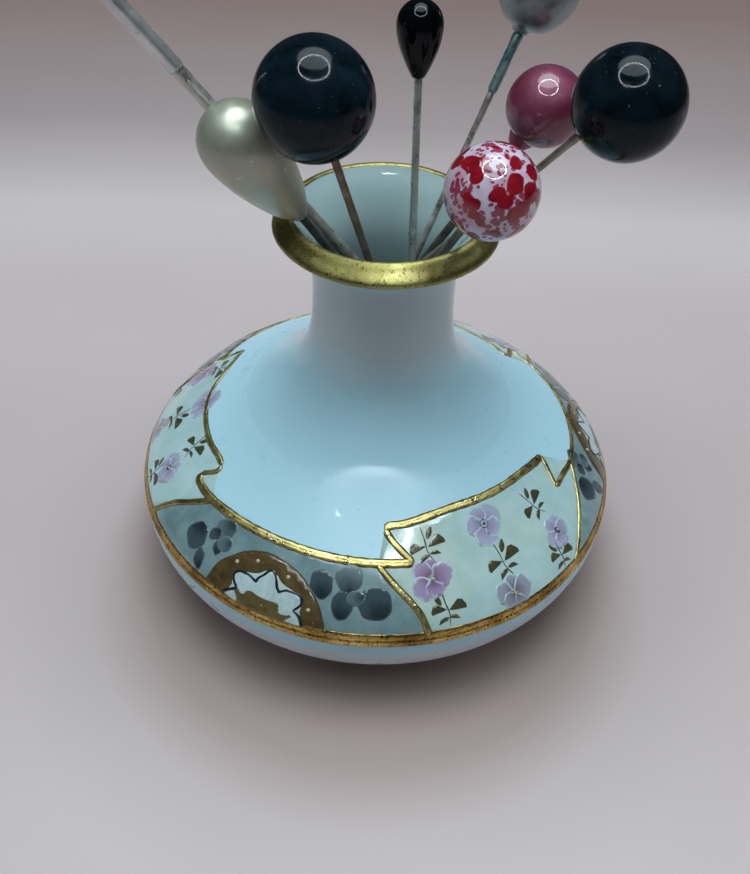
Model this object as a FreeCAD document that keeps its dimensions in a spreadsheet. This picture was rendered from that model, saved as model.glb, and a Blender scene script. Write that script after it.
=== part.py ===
import FreeCAD, Part
import Sketcher
import math
import os

# Porcelain hatpin holder with eight hatpins standing in it.
# Millimetres, +Z up.  The origin is the centre of the foot, on the level that
# the foot ring stands on, and the vase's axis of revolution is Z.

V = FreeCAD.Vector
doc = FreeCAD.newDocument("hatpin_holder")
sheet = doc.addObject("Spreadsheet::Sheet", "Dims")

# ------------------------------------------------------------ driving sizes
DIMS = [
    # vase: foot ring, widest point, throat, rim
    ("footRingOuter", 20.4), ("footRingInner", 17.4), ("footRingRise", 1.3),
    ("floorLevel", 3.1), ("equatorRadius", 38.0), ("equatorLevel", 14.6),
    ("throatOuter", 10.15), ("throatInner", 8.25), ("throatLevel", 50.0),
    ("rimOuter", 15.45), ("rimOuterLevel", 59.83), ("rimCrest", 13.25),
    ("rimCrestLevel", 61.85),
    # shanks: cement gap inside a head, length and end radius of the ground point
    ("cementGap", 0.04), ("pointLength", 9.0), ("pointRadius", 0.12),
]

# One row per pin: prefix, tip x, y, z, tilt from vertical, azimuth of the lean
# (degrees from +X towards +Y), shank radius, shank length.
PIN_ROWS = [
    ("long", 29.14, 8.90, 7.37, 37.06, -166.54, 0.85, 109.75),
    ("pearl", 21.12, 16.35, 5.15, 33.58, -146.95, 0.55, 81.15),
    ("navy", 13.00, 4.39, 3.67, 19.30, -141.33, 0.50, 85.48),
    ("drop", 4.98, -9.37, 3.67, 7.67, 100.46, 0.50, 81.90),
    ("silver", -15.80, -12.27, 3.67, 26.93, 36.59, 0.45, 93.11),
    ("magenta", -26.71, -6.76, 5.52, 34.34, 12.98, 0.58, 86.08),
    ("speckled", -8.16, 28.60, 6.63, 35.70, -65.18, 0.55, 83.78),
    ("black", -31.60, 7.66, 8.85, 39.58, -14.29, 0.46, 96.42),
]
for pin, tx, ty, tz, tilt, azim, rad, length in PIN_ROWS:
    DIMS += [(pin + "TipX", tx), (pin + "TipY", ty), (pin + "TipZ", tz),
             (pin + "Tilt", tilt), (pin + "Azimuth", azim),
             (pin + "ShankRadius", rad), (pin + "ShankLength", length)]

# Heads, sleeves and the collar, measured along their own pin from its tip.
DIMS += [
    ("longBallRadius", 4.00), ("longBallLevel", 108.55), ("longSleeveRadius", 1.05), ("longSleeveLevel", 92.68), ("longSleeveLength", 11.89),
    ("pearlDropRadius", 4.80), ("pearlDropLength", 19.21), ("pearlDropLevel", 69.62),
    ("navyBallRadius", 6.82), ("navyBallLevel", 83.09),
    ("dropDropRadius", 2.82), ("dropDropLength", 8.84), ("dropDropLevel", 76.60),
    ("silverDropRadius", 5.15), ("silverDropLength", 10.58), ("silverDropLevel", 87.29), ("silverSleeveRadius", 0.68), ("silverSleeveLevel", 79.50), ("silverSleeveLength", 7.74),
    ("magentaBallRadius", 5.13), ("magentaBallLevel", 84.29), ("magentaCollarRadius", 1.90), ("magentaCollarHeight", 1.70),
    ("speckledBallRadius", 5.59), ("speckledBallLevel", 81.82),
    ("blackBallRadius", 6.56), ("blackBallLevel", 94.12), ("blackBallOffset", 0.82), ("blackBallSpin", -35.59),
]

for row, (alias, number) in enumerate(DIMS, start=1):
    sheet.set("A%d" % row, alias)
    sheet.set("B%d" % row, repr(number))
    sheet.setAlias("B%d" % row, alias)
doc.recompute()


class Q:
    """A size: its value, and the expression that binds it to the sheet."""

    def __init__(self, value, text):
        self.value = float(value)
        self.text = text

    def __add__(self, other):
        other = quantity(other)
        return Q(self.value + other.value, "(%s + %s)" % (self.text, other.text))

    def __sub__(self, other):
        other = quantity(other)
        return Q(self.value - other.value, "(%s - %s)" % (self.text, other.text))

    def __mul__(self, factor):
        return Q(self.value * factor, "(%s * %r)" % (self.text, float(factor)))


def quantity(item):
    if isinstance(item, Q):
        return item
    return Q(item, repr(float(item)))


def dim(alias):
    return Q(sheet.get(alias), "Dims." + alias)


def origin_plane(body, role):
    for feature in body.Origin.OriginFeatures:
        if feature.Role == role:
            return feature
    raise RuntimeError("no origin plane " + role)


def new_body(label):
    body = doc.addObject("PartDesign::Body", label.title().replace("_", ""))
    body.Label = label
    return body


def new_sketch(body, name, role="XZ_Plane"):
    sketch = body.newObject("Sketcher::SketchObject", name)
    sketch.AttachmentSupport = (origin_plane(body, role), [""])
    sketch.MapMode = "FlatFace"
    return sketch


def bind(sketch, constraint, item):
    if item.text.startswith("Dims.") or "Dims." in item.text:
        sketch.setExpression("Constraints[%d]" % constraint, item.text)


def place(sketch, geo, pos, across, along):
    """Puts a sketch point at (across, along) from the sketch's origin."""
    across, along = quantity(across), quantity(along)
    if abs(across.value) < 1e-9:
        sketch.addConstraint(Sketcher.Constraint("PointOnObject", geo, pos, -2))
    else:
        k = sketch.addConstraint(Sketcher.Constraint("DistanceX", -1, 1, geo, pos, across.value))
        bind(sketch, k, across)
    if abs(along.value) < 1e-9:
        sketch.addConstraint(Sketcher.Constraint("PointOnObject", geo, pos, -1))
    else:
        k = sketch.addConstraint(Sketcher.Constraint("DistanceY", -1, 1, geo, pos, along.value))
        bind(sketch, k, along)


def polygon(sketch, corners):
    corners = [(quantity(a), quantity(b)) for a, b in corners]
    count = len(corners)
    for i in range(count):
        a, b = corners[i], corners[(i + 1) % count]
        sketch.addGeometry(Part.LineSegment(V(a[0].value, a[1].value, 0),
                                            V(b[0].value, b[1].value, 0)), False)
    for i in range(count):
        sketch.addConstraint(Sketcher.Constraint("Coincident", i, 2, (i + 1) % count, 1))
    for i in range(count):
        place(sketch, i, 1, corners[i][0], corners[i][1])


def revolve(body, sketch, name):
    feature = body.newObject("PartDesign::Revolution", name)
    feature.Profile = sketch
    feature.ReferenceAxis = (sketch, ["V_Axis"])
    feature.Angle = 360.0
    return feature


def spline(points):
    curve = Part.BSplineCurve()
    curve.interpolate([V(a, b, 0) for a, b in points])
    return curve


def stand(body, pin, spin=0.0):
    """Places a piece of a pin: local Z runs from the pin's tip to its head."""
    azim = math.radians(sheet.get(pin + "Azimuth"))
    axis = V(-math.sin(azim), math.cos(azim), 0)
    body.Placement = FreeCAD.Placement(
        V(sheet.get(pin + "TipX"), sheet.get(pin + "TipY"), sheet.get(pin + "TipZ")),
        FreeCAD.Rotation(axis, sheet.get(pin + "Tilt")).multiply(
            FreeCAD.Rotation(V(0, 0, 1), spin)))


parts = []


# --------------------------------------------------------------------- vase
def make_vase():
    body = new_body("holder_vase")
    sketch = new_sketch(body, "VaseProfile")
    eq, eql = sheet.get("equatorRadius"), sheet.get("equatorLevel")
    tho, thi, thl = sheet.get("throatOuter"), sheet.get("throatInner"), sheet.get("throatLevel")
    ro, rol = sheet.get("rimOuter"), sheet.get("rimOuterLevel")
    rc, rcl = sheet.get("rimCrest"), sheet.get("rimCrestLevel")
    fo, fi, rise = sheet.get("footRingOuter"), sheet.get("footRingInner"), sheet.get("footRingRise")
    floor = sheet.get("floorLevel")
    # outside, from the foot ring up to the underside of the rim
    outer = [(fo + 0.5, rise), (fo + 4.3, rise + 0.45), (28.6, 2.75), (32.4, 5.0),
             (35.5, 8.0), (37.35, 11.2), (eq, eql), (37.55, eql + 2.7), (35.8, eql + 5.1),
             (32.4, eql + 8.0), (28.0, eql + 10.9), (23.5, eql + 13.7), (19.3, eql + 16.4),
             (16.0, eql + 19.1), (13.5, 36.2), (11.8, 38.8), (10.75, 42.0), (tho + 0.12, 46.0),
             (tho, thl), (10.3, 53.47), (10.95, 56.36), (12.3, 58.19), (ro - 1.35, 59.01)]
    # rounded lip, from its underside over the outer edge and the crest
    lip = [(ro - 1.35, 59.01), (ro - 0.35, 59.27), (ro, rol), (ro - 0.3, rol + 0.6),
           (ro - 1.2, rol + 1.3), (rc, rcl), (rc - 0.42, rcl - 0.02), (rc - 0.72, rcl - 0.35)]
    # inside, from the crest down the funnel and throat into the hollow body
    inner = [(rc - 0.72, rcl - 0.35), (11.6, 60.5), (10.35, 58.67), (9.4, 56.74), (8.5, 53.85),
             (thi, thl), (8.32, 46.0), (8.6, 43.0), (9.4, 40.0), (10.8, 37.0),
             (13.1, 34.0), (16.9, 30.5), (20.4, 27.6), (24.9, 24.8), (29.4, 21.8), (33.0, 18.8),
             (35.3, 15.9), (35.7, 13.2), (34.7, 10.2), (32.0, 7.1), (27.6, 4.6), (20.0, floor + 0.15),
             (10.0, floor), (0.0, floor)]
    for points in (outer, lip, inner):
        sketch.addGeometry(spline(points), False)
    straights = [
        ((0.0, floor), (0.0, rise)),
        ((0.0, rise), (fi, rise)),
        ((fi, rise), (fi + 0.5, 0.0)),
        ((fi + 0.5, 0.0), (fo - 0.5, 0.0)),
        ((fo - 0.5, 0.0), (fo + 0.5, rise)),
    ]
    for a, b in straights:
        sketch.addGeometry(Part.LineSegment(V(a[0], a[1], 0), V(b[0], b[1], 0)), False)
    for geo in (0, 1, 2):
        sketch.addConstraint(Sketcher.Constraint("Block", geo))
    for a, b in ((0, 1), (1, 2), (2, 3), (3, 4), (4, 5), (5, 6), (6, 7)):
        sketch.addConstraint(Sketcher.Constraint("Coincident", a, 2, b, 1))
    sketch.addConstraint(Sketcher.Constraint("Coincident", 7, 2, 0, 1))
    place(sketch, 4, 1, 0, dim("footRingRise"))
    place(sketch, 5, 1, dim("footRingInner"), dim("footRingRise"))
    place(sketch, 6, 1, dim("footRingInner") + 0.5, 0)
    place(sketch, 7, 1, dim("footRingOuter") - 0.5, 0)
    revolve(body, sketch, "VaseWall")
    parts.append(body)


make_vase()


# ------------------------------------------------------------ pieces of pins
def make_shank(label, pin):
    """Wire with a ground point at its lower end."""
    body = new_body(label)
    sketch = new_sketch(body, "ShankProfile")
    rad, length = dim(pin + "ShankRadius"), dim(pin + "ShankLength")
    polygon(sketch, [(0, 0), (dim("pointRadius"), 0), (rad, dim("pointLength")),
                     (rad, length), (0, length)])
    revolve(body, sketch, "ShankWire")
    stand(body, pin)
    parts.append(body)


def make_ball(label, pin):
    """Ball with the blind bore in which the shank is cemented."""
    body = new_body(label)
    sketch = new_sketch(body, "BallProfile")
    rad, level = dim(pin + "BallRadius"), dim(pin + "BallLevel")
    bore = dim(pin + "ShankRadius") + dim("cementGap")
    top = dim(pin + "ShankLength")
    start = math.asin(bore.value / rad.value) - math.pi / 2.0
    sketch.addGeometry(Part.ArcOfCircle(Part.Circle(V(0, level.value, 0), V(0, 0, 1), rad.value),
                                        start, math.pi / 2.0), False)
    low = level.value - math.sqrt(rad.value ** 2 - bore.value ** 2)
    high = level.value + rad.value
    sketch.addGeometry(Part.LineSegment(V(0, high, 0), V(0, top.value, 0)), False)
    sketch.addGeometry(Part.LineSegment(V(0, top.value, 0), V(bore.value, top.value, 0)), False)
    sketch.addGeometry(Part.LineSegment(V(bore.value, top.value, 0), V(bore.value, low, 0)), False)
    for a, pa, b, pb in ((0, 2, 1, 1), (1, 2, 2, 1), (2, 2, 3, 1), (3, 2, 0, 1)):
        sketch.addConstraint(Sketcher.Constraint("Coincident", a, pa, b, pb))
    place(sketch, 0, 3, 0, level)
    sketch.addConstraint(Sketcher.Constraint("PointOnObject", 0, 2, -2))
    k = sketch.addConstraint(Sketcher.Constraint("Radius", 0, rad.value))
    bind(sketch, k, rad)
    place(sketch, 2, 1, 0, top)
    place(sketch, 3, 1, bore, top)
    sketch.addConstraint(Sketcher.Constraint("Vertical", 3))
    revolve(body, sketch, "BallGlass")
    stand(body, pin)
    parts.append(body)


def make_offset_ball(label, pin):
    """Ball drilled off its centre: the sphere's own axis runs beside the shank's."""
    body = new_body(label)
    sketch = new_sketch(body, "BallProfile")
    rad, level = dim(pin + "BallRadius"), dim(pin + "BallLevel")
    off, top = dim(pin + "BallOffset"), dim(pin + "ShankLength")
    bore = dim(pin + "ShankRadius") + dim("cementGap")
    sketch.addGeometry(Part.ArcOfCircle(
        Part.Circle(V(off.value, level.value, 0), V(0, 0, 1), rad.value),
        -math.pi / 2.0, math.pi / 2.0), False)
    sketch.addGeometry(Part.LineSegment(V(off.value, level.value + rad.value, 0),
                                        V(off.value, level.value - rad.value, 0)), False)
    axis = sketch.addGeometry(Part.LineSegment(V(off.value, level.value - rad.value - 1.0, 0),
                                               V(off.value, level.value + rad.value + 1.0, 0)), True)
    sketch.addConstraint(Sketcher.Constraint("Coincident", 0, 2, 1, 1))
    sketch.addConstraint(Sketcher.Constraint("Coincident", 1, 2, 0, 1))
    sketch.addConstraint(Sketcher.Constraint("Vertical", 1))
    sketch.addConstraint(Sketcher.Constraint("PointOnObject", 0, 3, 1))
    place(sketch, 0, 3, off, level)
    k = sketch.addConstraint(Sketcher.Constraint("Radius", 0, rad.value))
    bind(sketch, k, rad)
    sketch.addConstraint(Sketcher.Constraint("Block", axis))
    feature = body.newObject("PartDesign::Revolution", "BallGlass")
    feature.Profile = sketch
    feature.ReferenceAxis = (sketch, ["Axis0"])
    feature.Angle = 360.0
    hole = new_sketch(body, "BoreProfile")
    polygon(hole, [(0.0, level - (rad + 1.0)), (bore, level - (rad + 1.0)), (bore, top), (0.0, top)])
    cut = body.newObject("PartDesign::Groove", "Bore")
    cut.Profile = hole
    cut.ReferenceAxis = (hole, ["V_Axis"])
    cut.Angle = 360.0
    stand(body, pin, sheet.get(pin + "BallSpin"))
    parts.append(body)


def make_drop(label, pin, outline):
    """Teardrop, narrow end towards the vase, with the blind shank bore.

    outline holds (fraction of the greatest radius, fraction of the length)."""
    body = new_body(label)
    sketch = new_sketch(body, "DropProfile")
    rad, length, low = sheet.get(pin + "DropRadius"), sheet.get(pin + "DropLength"), dim(pin + "DropLevel")
    bore = dim(pin + "ShankRadius") + dim("cementGap")
    top = dim(pin + "ShankLength")
    points = [(rad * a, low.value + length * b) for a, b in outline]
    sketch.addGeometry(spline(points), False)
    high = low.value + length
    sketch.addGeometry(Part.LineSegment(V(0, high, 0), V(0, top.value, 0)), False)
    sketch.addGeometry(Part.LineSegment(V(0, top.value, 0), V(bore.value, top.value, 0)), False)
    sketch.addGeometry(Part.LineSegment(V(bore.value, top.value, 0), V(bore.value, low.value, 0)), False)
    sketch.addGeometry(Part.LineSegment(V(bore.value, low.value, 0), V(points[0][0], low.value, 0)), False)
    sketch.addConstraint(Sketcher.Constraint("Block", 0))
    for a, pa, b, pb in ((0, 2, 1, 1), (1, 2, 2, 1), (2, 2, 3, 1), (3, 2, 4, 1), (4, 2, 0, 1)):
        sketch.addConstraint(Sketcher.Constraint("Coincident", a, pa, b, pb))
    place(sketch, 2, 1, 0, top)
    place(sketch, 3, 1, bore, top)
    place(sketch, 4, 1, bore, low)
    revolve(body, sketch, "DropGlass")
    stand(body, pin)
    parts.append(body)


def make_sleeve(label, pin):
    """Tube drawn over the upper part of the shank."""
    body = new_body(label)
    sketch = new_sketch(body, "SleeveRing", "XY_Plane")
    outer, inner = dim(pin + "SleeveRadius"), dim(pin + "ShankRadius") + dim("cementGap")
    for geo, item in enumerate((outer, inner)):
        sketch.addGeometry(Part.Circle(V(0, 0, 0), V(0, 0, 1), item.value), False)
        sketch.addConstraint(Sketcher.Constraint("Coincident", geo, 3, -1, 1))
        k = sketch.addConstraint(Sketcher.Constraint("Radius", geo, item.value))
        bind(sketch, k, item)
    sketch.AttachmentOffset = FreeCAD.Placement(V(0, 0, sheet.get(pin + "SleeveLevel")), FreeCAD.Rotation())
    sketch.setExpression("AttachmentOffset.Base.z", "Dims." + pin + "SleeveLevel")
    pad = body.newObject("PartDesign::Pad", "SleeveTube")
    pad.Profile = sketch
    pad.Length = sheet.get(pin + "SleeveLength")
    pad.setExpression("Length", "Dims." + pin + "SleeveLength")
    stand(body, pin)
    parts.append(body)


def make_collar(label, pin):
    """Turned cup collar under a ball: its upper face is hollowed to the ball."""
    body = new_body(label)
    sketch = new_sketch(body, "CollarProfile")
    bore = dim(pin + "ShankRadius") + dim("cementGap")
    rad, level = dim(pin + "BallRadius"), dim(pin + "BallLevel")
    wide, tall = dim(pin + "CollarRadius"), dim(pin + "CollarHeight")
    seat = Q(level.value - math.sqrt((rad.value + 0.03) ** 2 - wide.value ** 2), "0")
    dip = Q(level.value - math.sqrt((rad.value + 0.03) ** 2 - bore.value ** 2), "0")
    base = dip.value - tall.value
    ring = wide.value
    # cup seat concentric with the ball, then the rolled edge and the neck below it
    a0 = math.atan2(dip.value - level.value, bore.value)
    a1 = math.atan2(seat.value - level.value, wide.value)
    sketch.addGeometry(Part.ArcOfCircle(Part.Circle(V(0, level.value, 0), V(0, 0, 1), rad.value + 0.03),
                                        a0, a1), False)
    corners = [(ring, seat.value), (ring + 0.12, seat.value - 0.35), (ring * 0.80, base + tall.value * 0.42),
               (ring * 0.62, base + tall.value * 0.22), (ring * 0.60, base), (bore.value, base),
               (bore.value, dip.value)]
    for i in range(len(corners) - 1):
        a, b = corners[i], corners[i + 1]
        sketch.addGeometry(Part.LineSegment(V(a[0], a[1], 0), V(b[0], b[1], 0)), False)
    sketch.addConstraint(Sketcher.Constraint("Coincident", 0, 2, 1, 1))
    for i in range(1, 6):
        sketch.addConstraint(Sketcher.Constraint("Coincident", i, 2, i + 1, 1))
    sketch.addConstraint(Sketcher.Constraint("Coincident", 6, 2, 0, 1))
    for geo in range(0, 7):
        sketch.addConstraint(Sketcher.Constraint("Block", geo))
    revolve(body, sketch, "CollarCup")
    stand(body, pin)
    parts.append(body)


# teardrop outlines: (fraction of greatest radius, fraction of length)
PEARL = [(0.208, 0.000), (0.477, 0.125), (0.663, 0.250), (0.808, 0.375), (0.914, 0.500),
         (0.978, 0.625), (1.000, 0.750), (0.927, 0.844), (0.743, 0.917), (0.500, 0.967),
         (0.242, 0.993), (0.000, 1.000)]
BLACK_DROP = [(0.284, 0.000), (0.482, 0.113), (0.654, 0.227), (0.799, 0.340), (0.909, 0.454),
              (0.977, 0.567), (1.000, 0.681), (0.927, 0.800), (0.743, 0.894), (0.500, 0.957),
              (0.242, 0.991), (0.000, 1.000)]
SILVER_DROP = [(0.190, 0.000), (0.215, 0.030), (0.430, 0.075), (0.660, 0.150), (0.830, 0.250),
               (0.950, 0.370), (1.000, 0.525), (0.950, 0.680), (0.780, 0.830), (0.520, 0.940),
               (0.260, 0.987), (0.000, 1.000)]

make_shank("long_pin_shank", "long")
make_sleeve("long_pin_sleeve", "long")
make_ball("long_pin_knob", "long")
make_shank("pearl_drop_shank", "pearl")
make_drop("pearl_drop_head", "pearl", PEARL)
make_shank("navy_ball_shank", "navy")
make_ball("navy_ball_head", "navy")
make_shank("black_drop_shank", "drop")
make_drop("black_drop_head", "drop", BLACK_DROP)
make_shank("silver_drop_shank", "silver")
make_sleeve("silver_drop_sleeve", "silver")
make_drop("silver_drop_head", "silver", SILVER_DROP)
make_shank("magenta_ball_shank", "magenta")
make_collar("magenta_ball_collar", "magenta")
make_ball("magenta_ball_head", "magenta")
make_shank("speckled_ball_shank", "speckled")
make_ball("speckled_ball_head", "speckled")
make_shank("black_ball_shank", "black")
make_offset_ball("black_ball_head", "black")

# ------------------------------------------------------------ check and write
doc.recompute()
for item in doc.Objects:
    if "Invalid" in item.State or "Error" in item.State:
        raise RuntimeError("failed: %s %s" % (item.Label, item.State))
for body in parts:
    shape = body.Shape
    if shape.isNull() or not shape.isValid() or len(shape.Solids) != 1:
        raise RuntimeError("bad shape: " + body.Label)

os.makedirs("parts", exist_ok=True)
for body in parts:
    body.Shape.exportStep("parts/%s.step" % body.Label)
    box = body.Shape.BoundBox
    print("%-22s volume %9.2f  x %7.2f..%7.2f  y %7.2f..%7.2f  z %7.2f..%7.2f" % (
        body.Label, body.Shape.Volume, box.XMin, box.XMax, box.YMin, box.YMax, box.ZMin, box.ZMax))
print(len(parts), "parts")
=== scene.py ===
import math
import random

import bmesh
import bpy
import numpy as np
from mathutils import Matrix, Vector, noise
from mathutils.geometry import delaunay_2d_cdt


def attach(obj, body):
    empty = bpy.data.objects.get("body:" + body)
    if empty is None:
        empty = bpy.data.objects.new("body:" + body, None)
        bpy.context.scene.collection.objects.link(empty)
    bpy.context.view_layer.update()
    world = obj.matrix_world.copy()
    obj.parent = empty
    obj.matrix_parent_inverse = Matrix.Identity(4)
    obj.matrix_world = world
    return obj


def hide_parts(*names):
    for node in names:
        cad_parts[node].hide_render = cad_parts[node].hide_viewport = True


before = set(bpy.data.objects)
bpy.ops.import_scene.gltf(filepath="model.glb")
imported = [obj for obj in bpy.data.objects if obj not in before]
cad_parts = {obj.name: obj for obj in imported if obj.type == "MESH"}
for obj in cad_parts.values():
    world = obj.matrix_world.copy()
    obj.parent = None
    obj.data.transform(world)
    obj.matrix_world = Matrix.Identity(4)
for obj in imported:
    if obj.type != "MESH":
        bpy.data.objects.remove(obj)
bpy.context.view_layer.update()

MM = 0.001
rng = random.Random(41)

# ------------------------------------------------------------------ helpers
def vec_noise(p, scale, seed=0.0):
    return noise.noise(Vector((p[0] * scale + seed, p[1] * scale - seed, p[2] * scale + 2 * seed)))


def add_object(name, verts, faces, material, body, replaces=(), smooth=True):
    mesh = bpy.data.meshes.new(name)
    mesh.from_pydata([tuple(v) for v in verts], [], faces)
    mesh.validate()
    obj = bpy.data.objects.new(name, mesh)
    bpy.context.scene.collection.objects.link(obj)
    if material is not None:
        mats = material if isinstance(material, (list, tuple)) else [material]
        for m in mats:
            mesh.materials.append(m)
    if smooth:
        mesh.polygons.foreach_set("use_smooth", [True] * len(mesh.polygons))
    bm = bmesh.new()
    bm.from_mesh(mesh)
    bmesh.ops.recalc_face_normals(bm, faces=bm.faces)
    bm.to_mesh(mesh)
    bm.free()
    mesh.update()
    if body:
        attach(obj, body)
    if replaces:
        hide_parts(*replaces)
    return obj


def float_attribute(obj, name, values):
    attr = obj.data.attributes.new(name, "FLOAT", "POINT")
    attr.data.foreach_set("value", [float(v) for v in values])


def natural_spline(points, step):
    """Points of a C2 cubic through the given (r, z) points, about step apart."""
    pts = np.array(points, float)
    t = np.r_[0, np.cumsum(np.hypot(*np.diff(pts, axis=0).T))]
    n = len(t)
    h = np.diff(t)
    A = np.zeros((n, n))
    A[0, 0] = A[-1, -1] = 1.0
    for i in range(1, n - 1):
        A[i, i - 1], A[i, i], A[i, i + 1] = h[i - 1], 2 * (h[i - 1] + h[i]), h[i]
    out = []
    count = max(8, int(round(t[-1] / step)))
    tt = np.linspace(0, t[-1], count + 1)
    for k in (0, 1):
        y = pts[:, k]
        b = np.zeros(n)
        b[1:-1] = 6 * ((y[2:] - y[1:-1]) / h[1:] - (y[1:-1] - y[:-2]) / h[:-1])
        M = np.linalg.solve(A, b)
        i = np.clip(np.searchsorted(t, tt, side="right") - 1, 0, n - 2)
        d = tt - t[i]
        hh = h[i]
        out.append(y[i] + d * ((y[i + 1] - y[i]) / hh - hh * (2 * M[i] + M[i + 1]) / 6)
                   + d * d * M[i] / 2 + d ** 3 * (M[i + 1] - M[i]) / (6 * hh))
    return np.stack(out, 1)


def smooth_path(points, step, corners=()):
    """Catmull-Rom through 2-D points, sharp at the listed indices."""
    pts = [np.array(p, float) for p in points]
    out = [pts[0]]
    for i in range(len(pts) - 1):
        p1, p2 = pts[i], pts[i + 1]
        p0 = pts[i - 1] if i > 0 and i not in corners else p1 - (p2 - p1)
        p3 = pts[i + 2] if i + 2 < len(pts) and (i + 1) not in corners else p2 + (p2 - p1)
        n = max(2, int(np.hypot(*(p2 - p1)) / step))
        for k in range(1, n + 1):
            u = k / n
            out.append(0.5 * ((2 * p1) + (p2 - p0) * u + (2 * p0 - 5 * p1 + 4 * p2 - p3) * u * u
                              + (3 * p1 - p0 - 3 * p2 + p3) * u ** 3))
    return np.array(out)


# ---------------------------------------------------------------- materials
def new_material(name):
    m = bpy.data.materials.new(name)
    m.use_nodes = True
    nt = m.node_tree
    bsdf = nt.nodes["Principled BSDF"]
    return m, nt, bsdf


def node(nt, kind, values=(), **props):
    n = nt.nodes.new(kind)
    for k, v in props.items():
        setattr(n, k, v)
    for k, v in dict(values).items():
        n.inputs[k].default_value = v
    return n


def rgb(c):
    return (c[0], c[1], c[2], 1.0)


def object_coords(nt):
    return node(nt, "ShaderNodeTexCoord").outputs["Object"]


def noise_fac(nt, scale, detail=4.0, rough=0.55, distortion=0.0, coords=None):
    n = node(nt, "ShaderNodeTexNoise", {"Scale": scale, "Detail": detail, "Roughness": rough,
                                        "Distortion": distortion})
    nt.links.new(coords or object_coords(nt), n.inputs["Vector"])
    return n.outputs["Fac"]


def ramp(nt, fac, stops, interpolation="LINEAR"):
    n = node(nt, "ShaderNodeValToRGB")
    n.color_ramp.interpolation = interpolation
    els = n.color_ramp.elements
    while len(els) > len(stops):
        els.remove(els[-1])
    while len(els) < len(stops):
        els.new(1.0)
    for e, (pos, col) in zip(els, stops):
        e.position = pos
        e.color = rgb(col) if not isinstance(col, (int, float)) else (col, col, col, 1.0)
    nt.links.new(fac, n.inputs["Fac"])
    return n.outputs["Color"]


def mix(nt, fac, a, b, mode="MIX"):
    n = node(nt, "ShaderNodeMix", data_type="RGBA", blend_type=mode)
    if isinstance(fac, (int, float)):
        n.inputs["Factor"].default_value = fac
    else:
        nt.links.new(fac, n.inputs["Factor"])
    for sock, item in ((n.inputs[6], a), (n.inputs[7], b)):
        if isinstance(item, (tuple, list)):
            sock.default_value = rgb(item)
        else:
            nt.links.new(item, sock)
    return n.outputs[2]


def math_node(nt, op, a, b=None, clamp=False):
    n = node(nt, "ShaderNodeMath", operation=op, use_clamp=clamp)
    for i, item in enumerate((a, b)):
        if item is None:
            continue
        if isinstance(item, (int, float)):
            n.inputs[i].default_value = item
        else:
            nt.links.new(item, n.inputs[i])
    return n.outputs[0]


def bump(nt, bsdf, height, strength, distance):
    b = node(nt, "ShaderNodeBump", {"Strength": strength, "Distance": distance})
    nt.links.new(height, b.inputs["Height"])
    nt.links.new(b.outputs["Normal"], bsdf.inputs["Normal"])
    return b


def glaze_surface(bsdf, rough=0.09, coat=0.35):
    bsdf.inputs["Roughness"].default_value = rough
    bsdf.inputs["Coat Weight"].default_value = coat
    bsdf.inputs["Coat Roughness"].default_value = 0.04
    bsdf.inputs["IOR"].default_value = 1.5


def make_porcelain(name="porcelain_glaze", stops=((0.3, (0.440, 0.715, 0.820)), (0.7, (0.475, 0.750, 0.845))), grime=0.28):
    m, nt, b = new_material(name)
    base = ramp(nt, noise_fac(nt, 45.0, 3.0), list(stops))
    specks = ramp(nt, noise_fac(nt, 900.0, 2.0, 0.5), [(0.735, 0.0), (0.78, 1.0)])
    col = mix(nt, math_node(nt, "MULTIPLY", specks, grime), base, (0.20, 0.20, 0.18))
    if name == "porcelain_glaze":
        # painted light and shade: the foot and lower body are tinted paler and greyer as painted bounce light from the
        # pinkish floor, and the neck greyer and darker as painted shade
        hgt = node(nt, "ShaderNodeSeparateXYZ")
        nt.links.new(object_coords(nt), hgt.inputs[0])
        foot = math_node(nt, "MULTIPLY", math_node(nt, "SUBTRACT", 0.0150, hgt.outputs[2]), 400.0, clamp=True)
        neck = math_node(nt, "MULTIPLY", math_node(nt, "SUBTRACT", hgt.outputs[2], 0.0375), 130.0, clamp=True)
        col = mix(nt, foot, col, (0.66, 0.74, 0.78))
        col = mix(nt, neck, col, (0.50, 0.605, 0.63))
    nt.links.new(col, b.inputs["Base Color"])
    # the glaze is mirror-smooth near the neck and orange-peeled below, with a few smooth flecks
    sep = node(nt, "ShaderNodeSeparateXYZ")
    nt.links.new(object_coords(nt), sep.inputs[0])
    low = math_node(nt, "MULTIPLY", math_node(nt, "SUBTRACT", 0.0325, sep.outputs[2]), 330.0, clamp=True)
    fleck = ramp(nt, noise_fac(nt, 330.0, 2.0), [(0.655, 1.0), (0.69, 0.0)])
    rough = ramp(nt, math_node(nt, "MULTIPLY", low, fleck), [(0.0, 0.030), (1.0, 0.34)])
    nt.links.new(rough, b.inputs["Roughness"])
    b.inputs["Specular IOR Level"].default_value = 0.30
    b.inputs["Subsurface Weight"].default_value = 0.12
    b.inputs["Subsurface Radius"].default_value = (0.0022, 0.0018, 0.0015)
    b.inputs["Subsurface Scale"].default_value = 1.0
    bump(nt, b, noise_fac(nt, 260.0, 2.0), 0.07, 0.00018)
    return m


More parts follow.
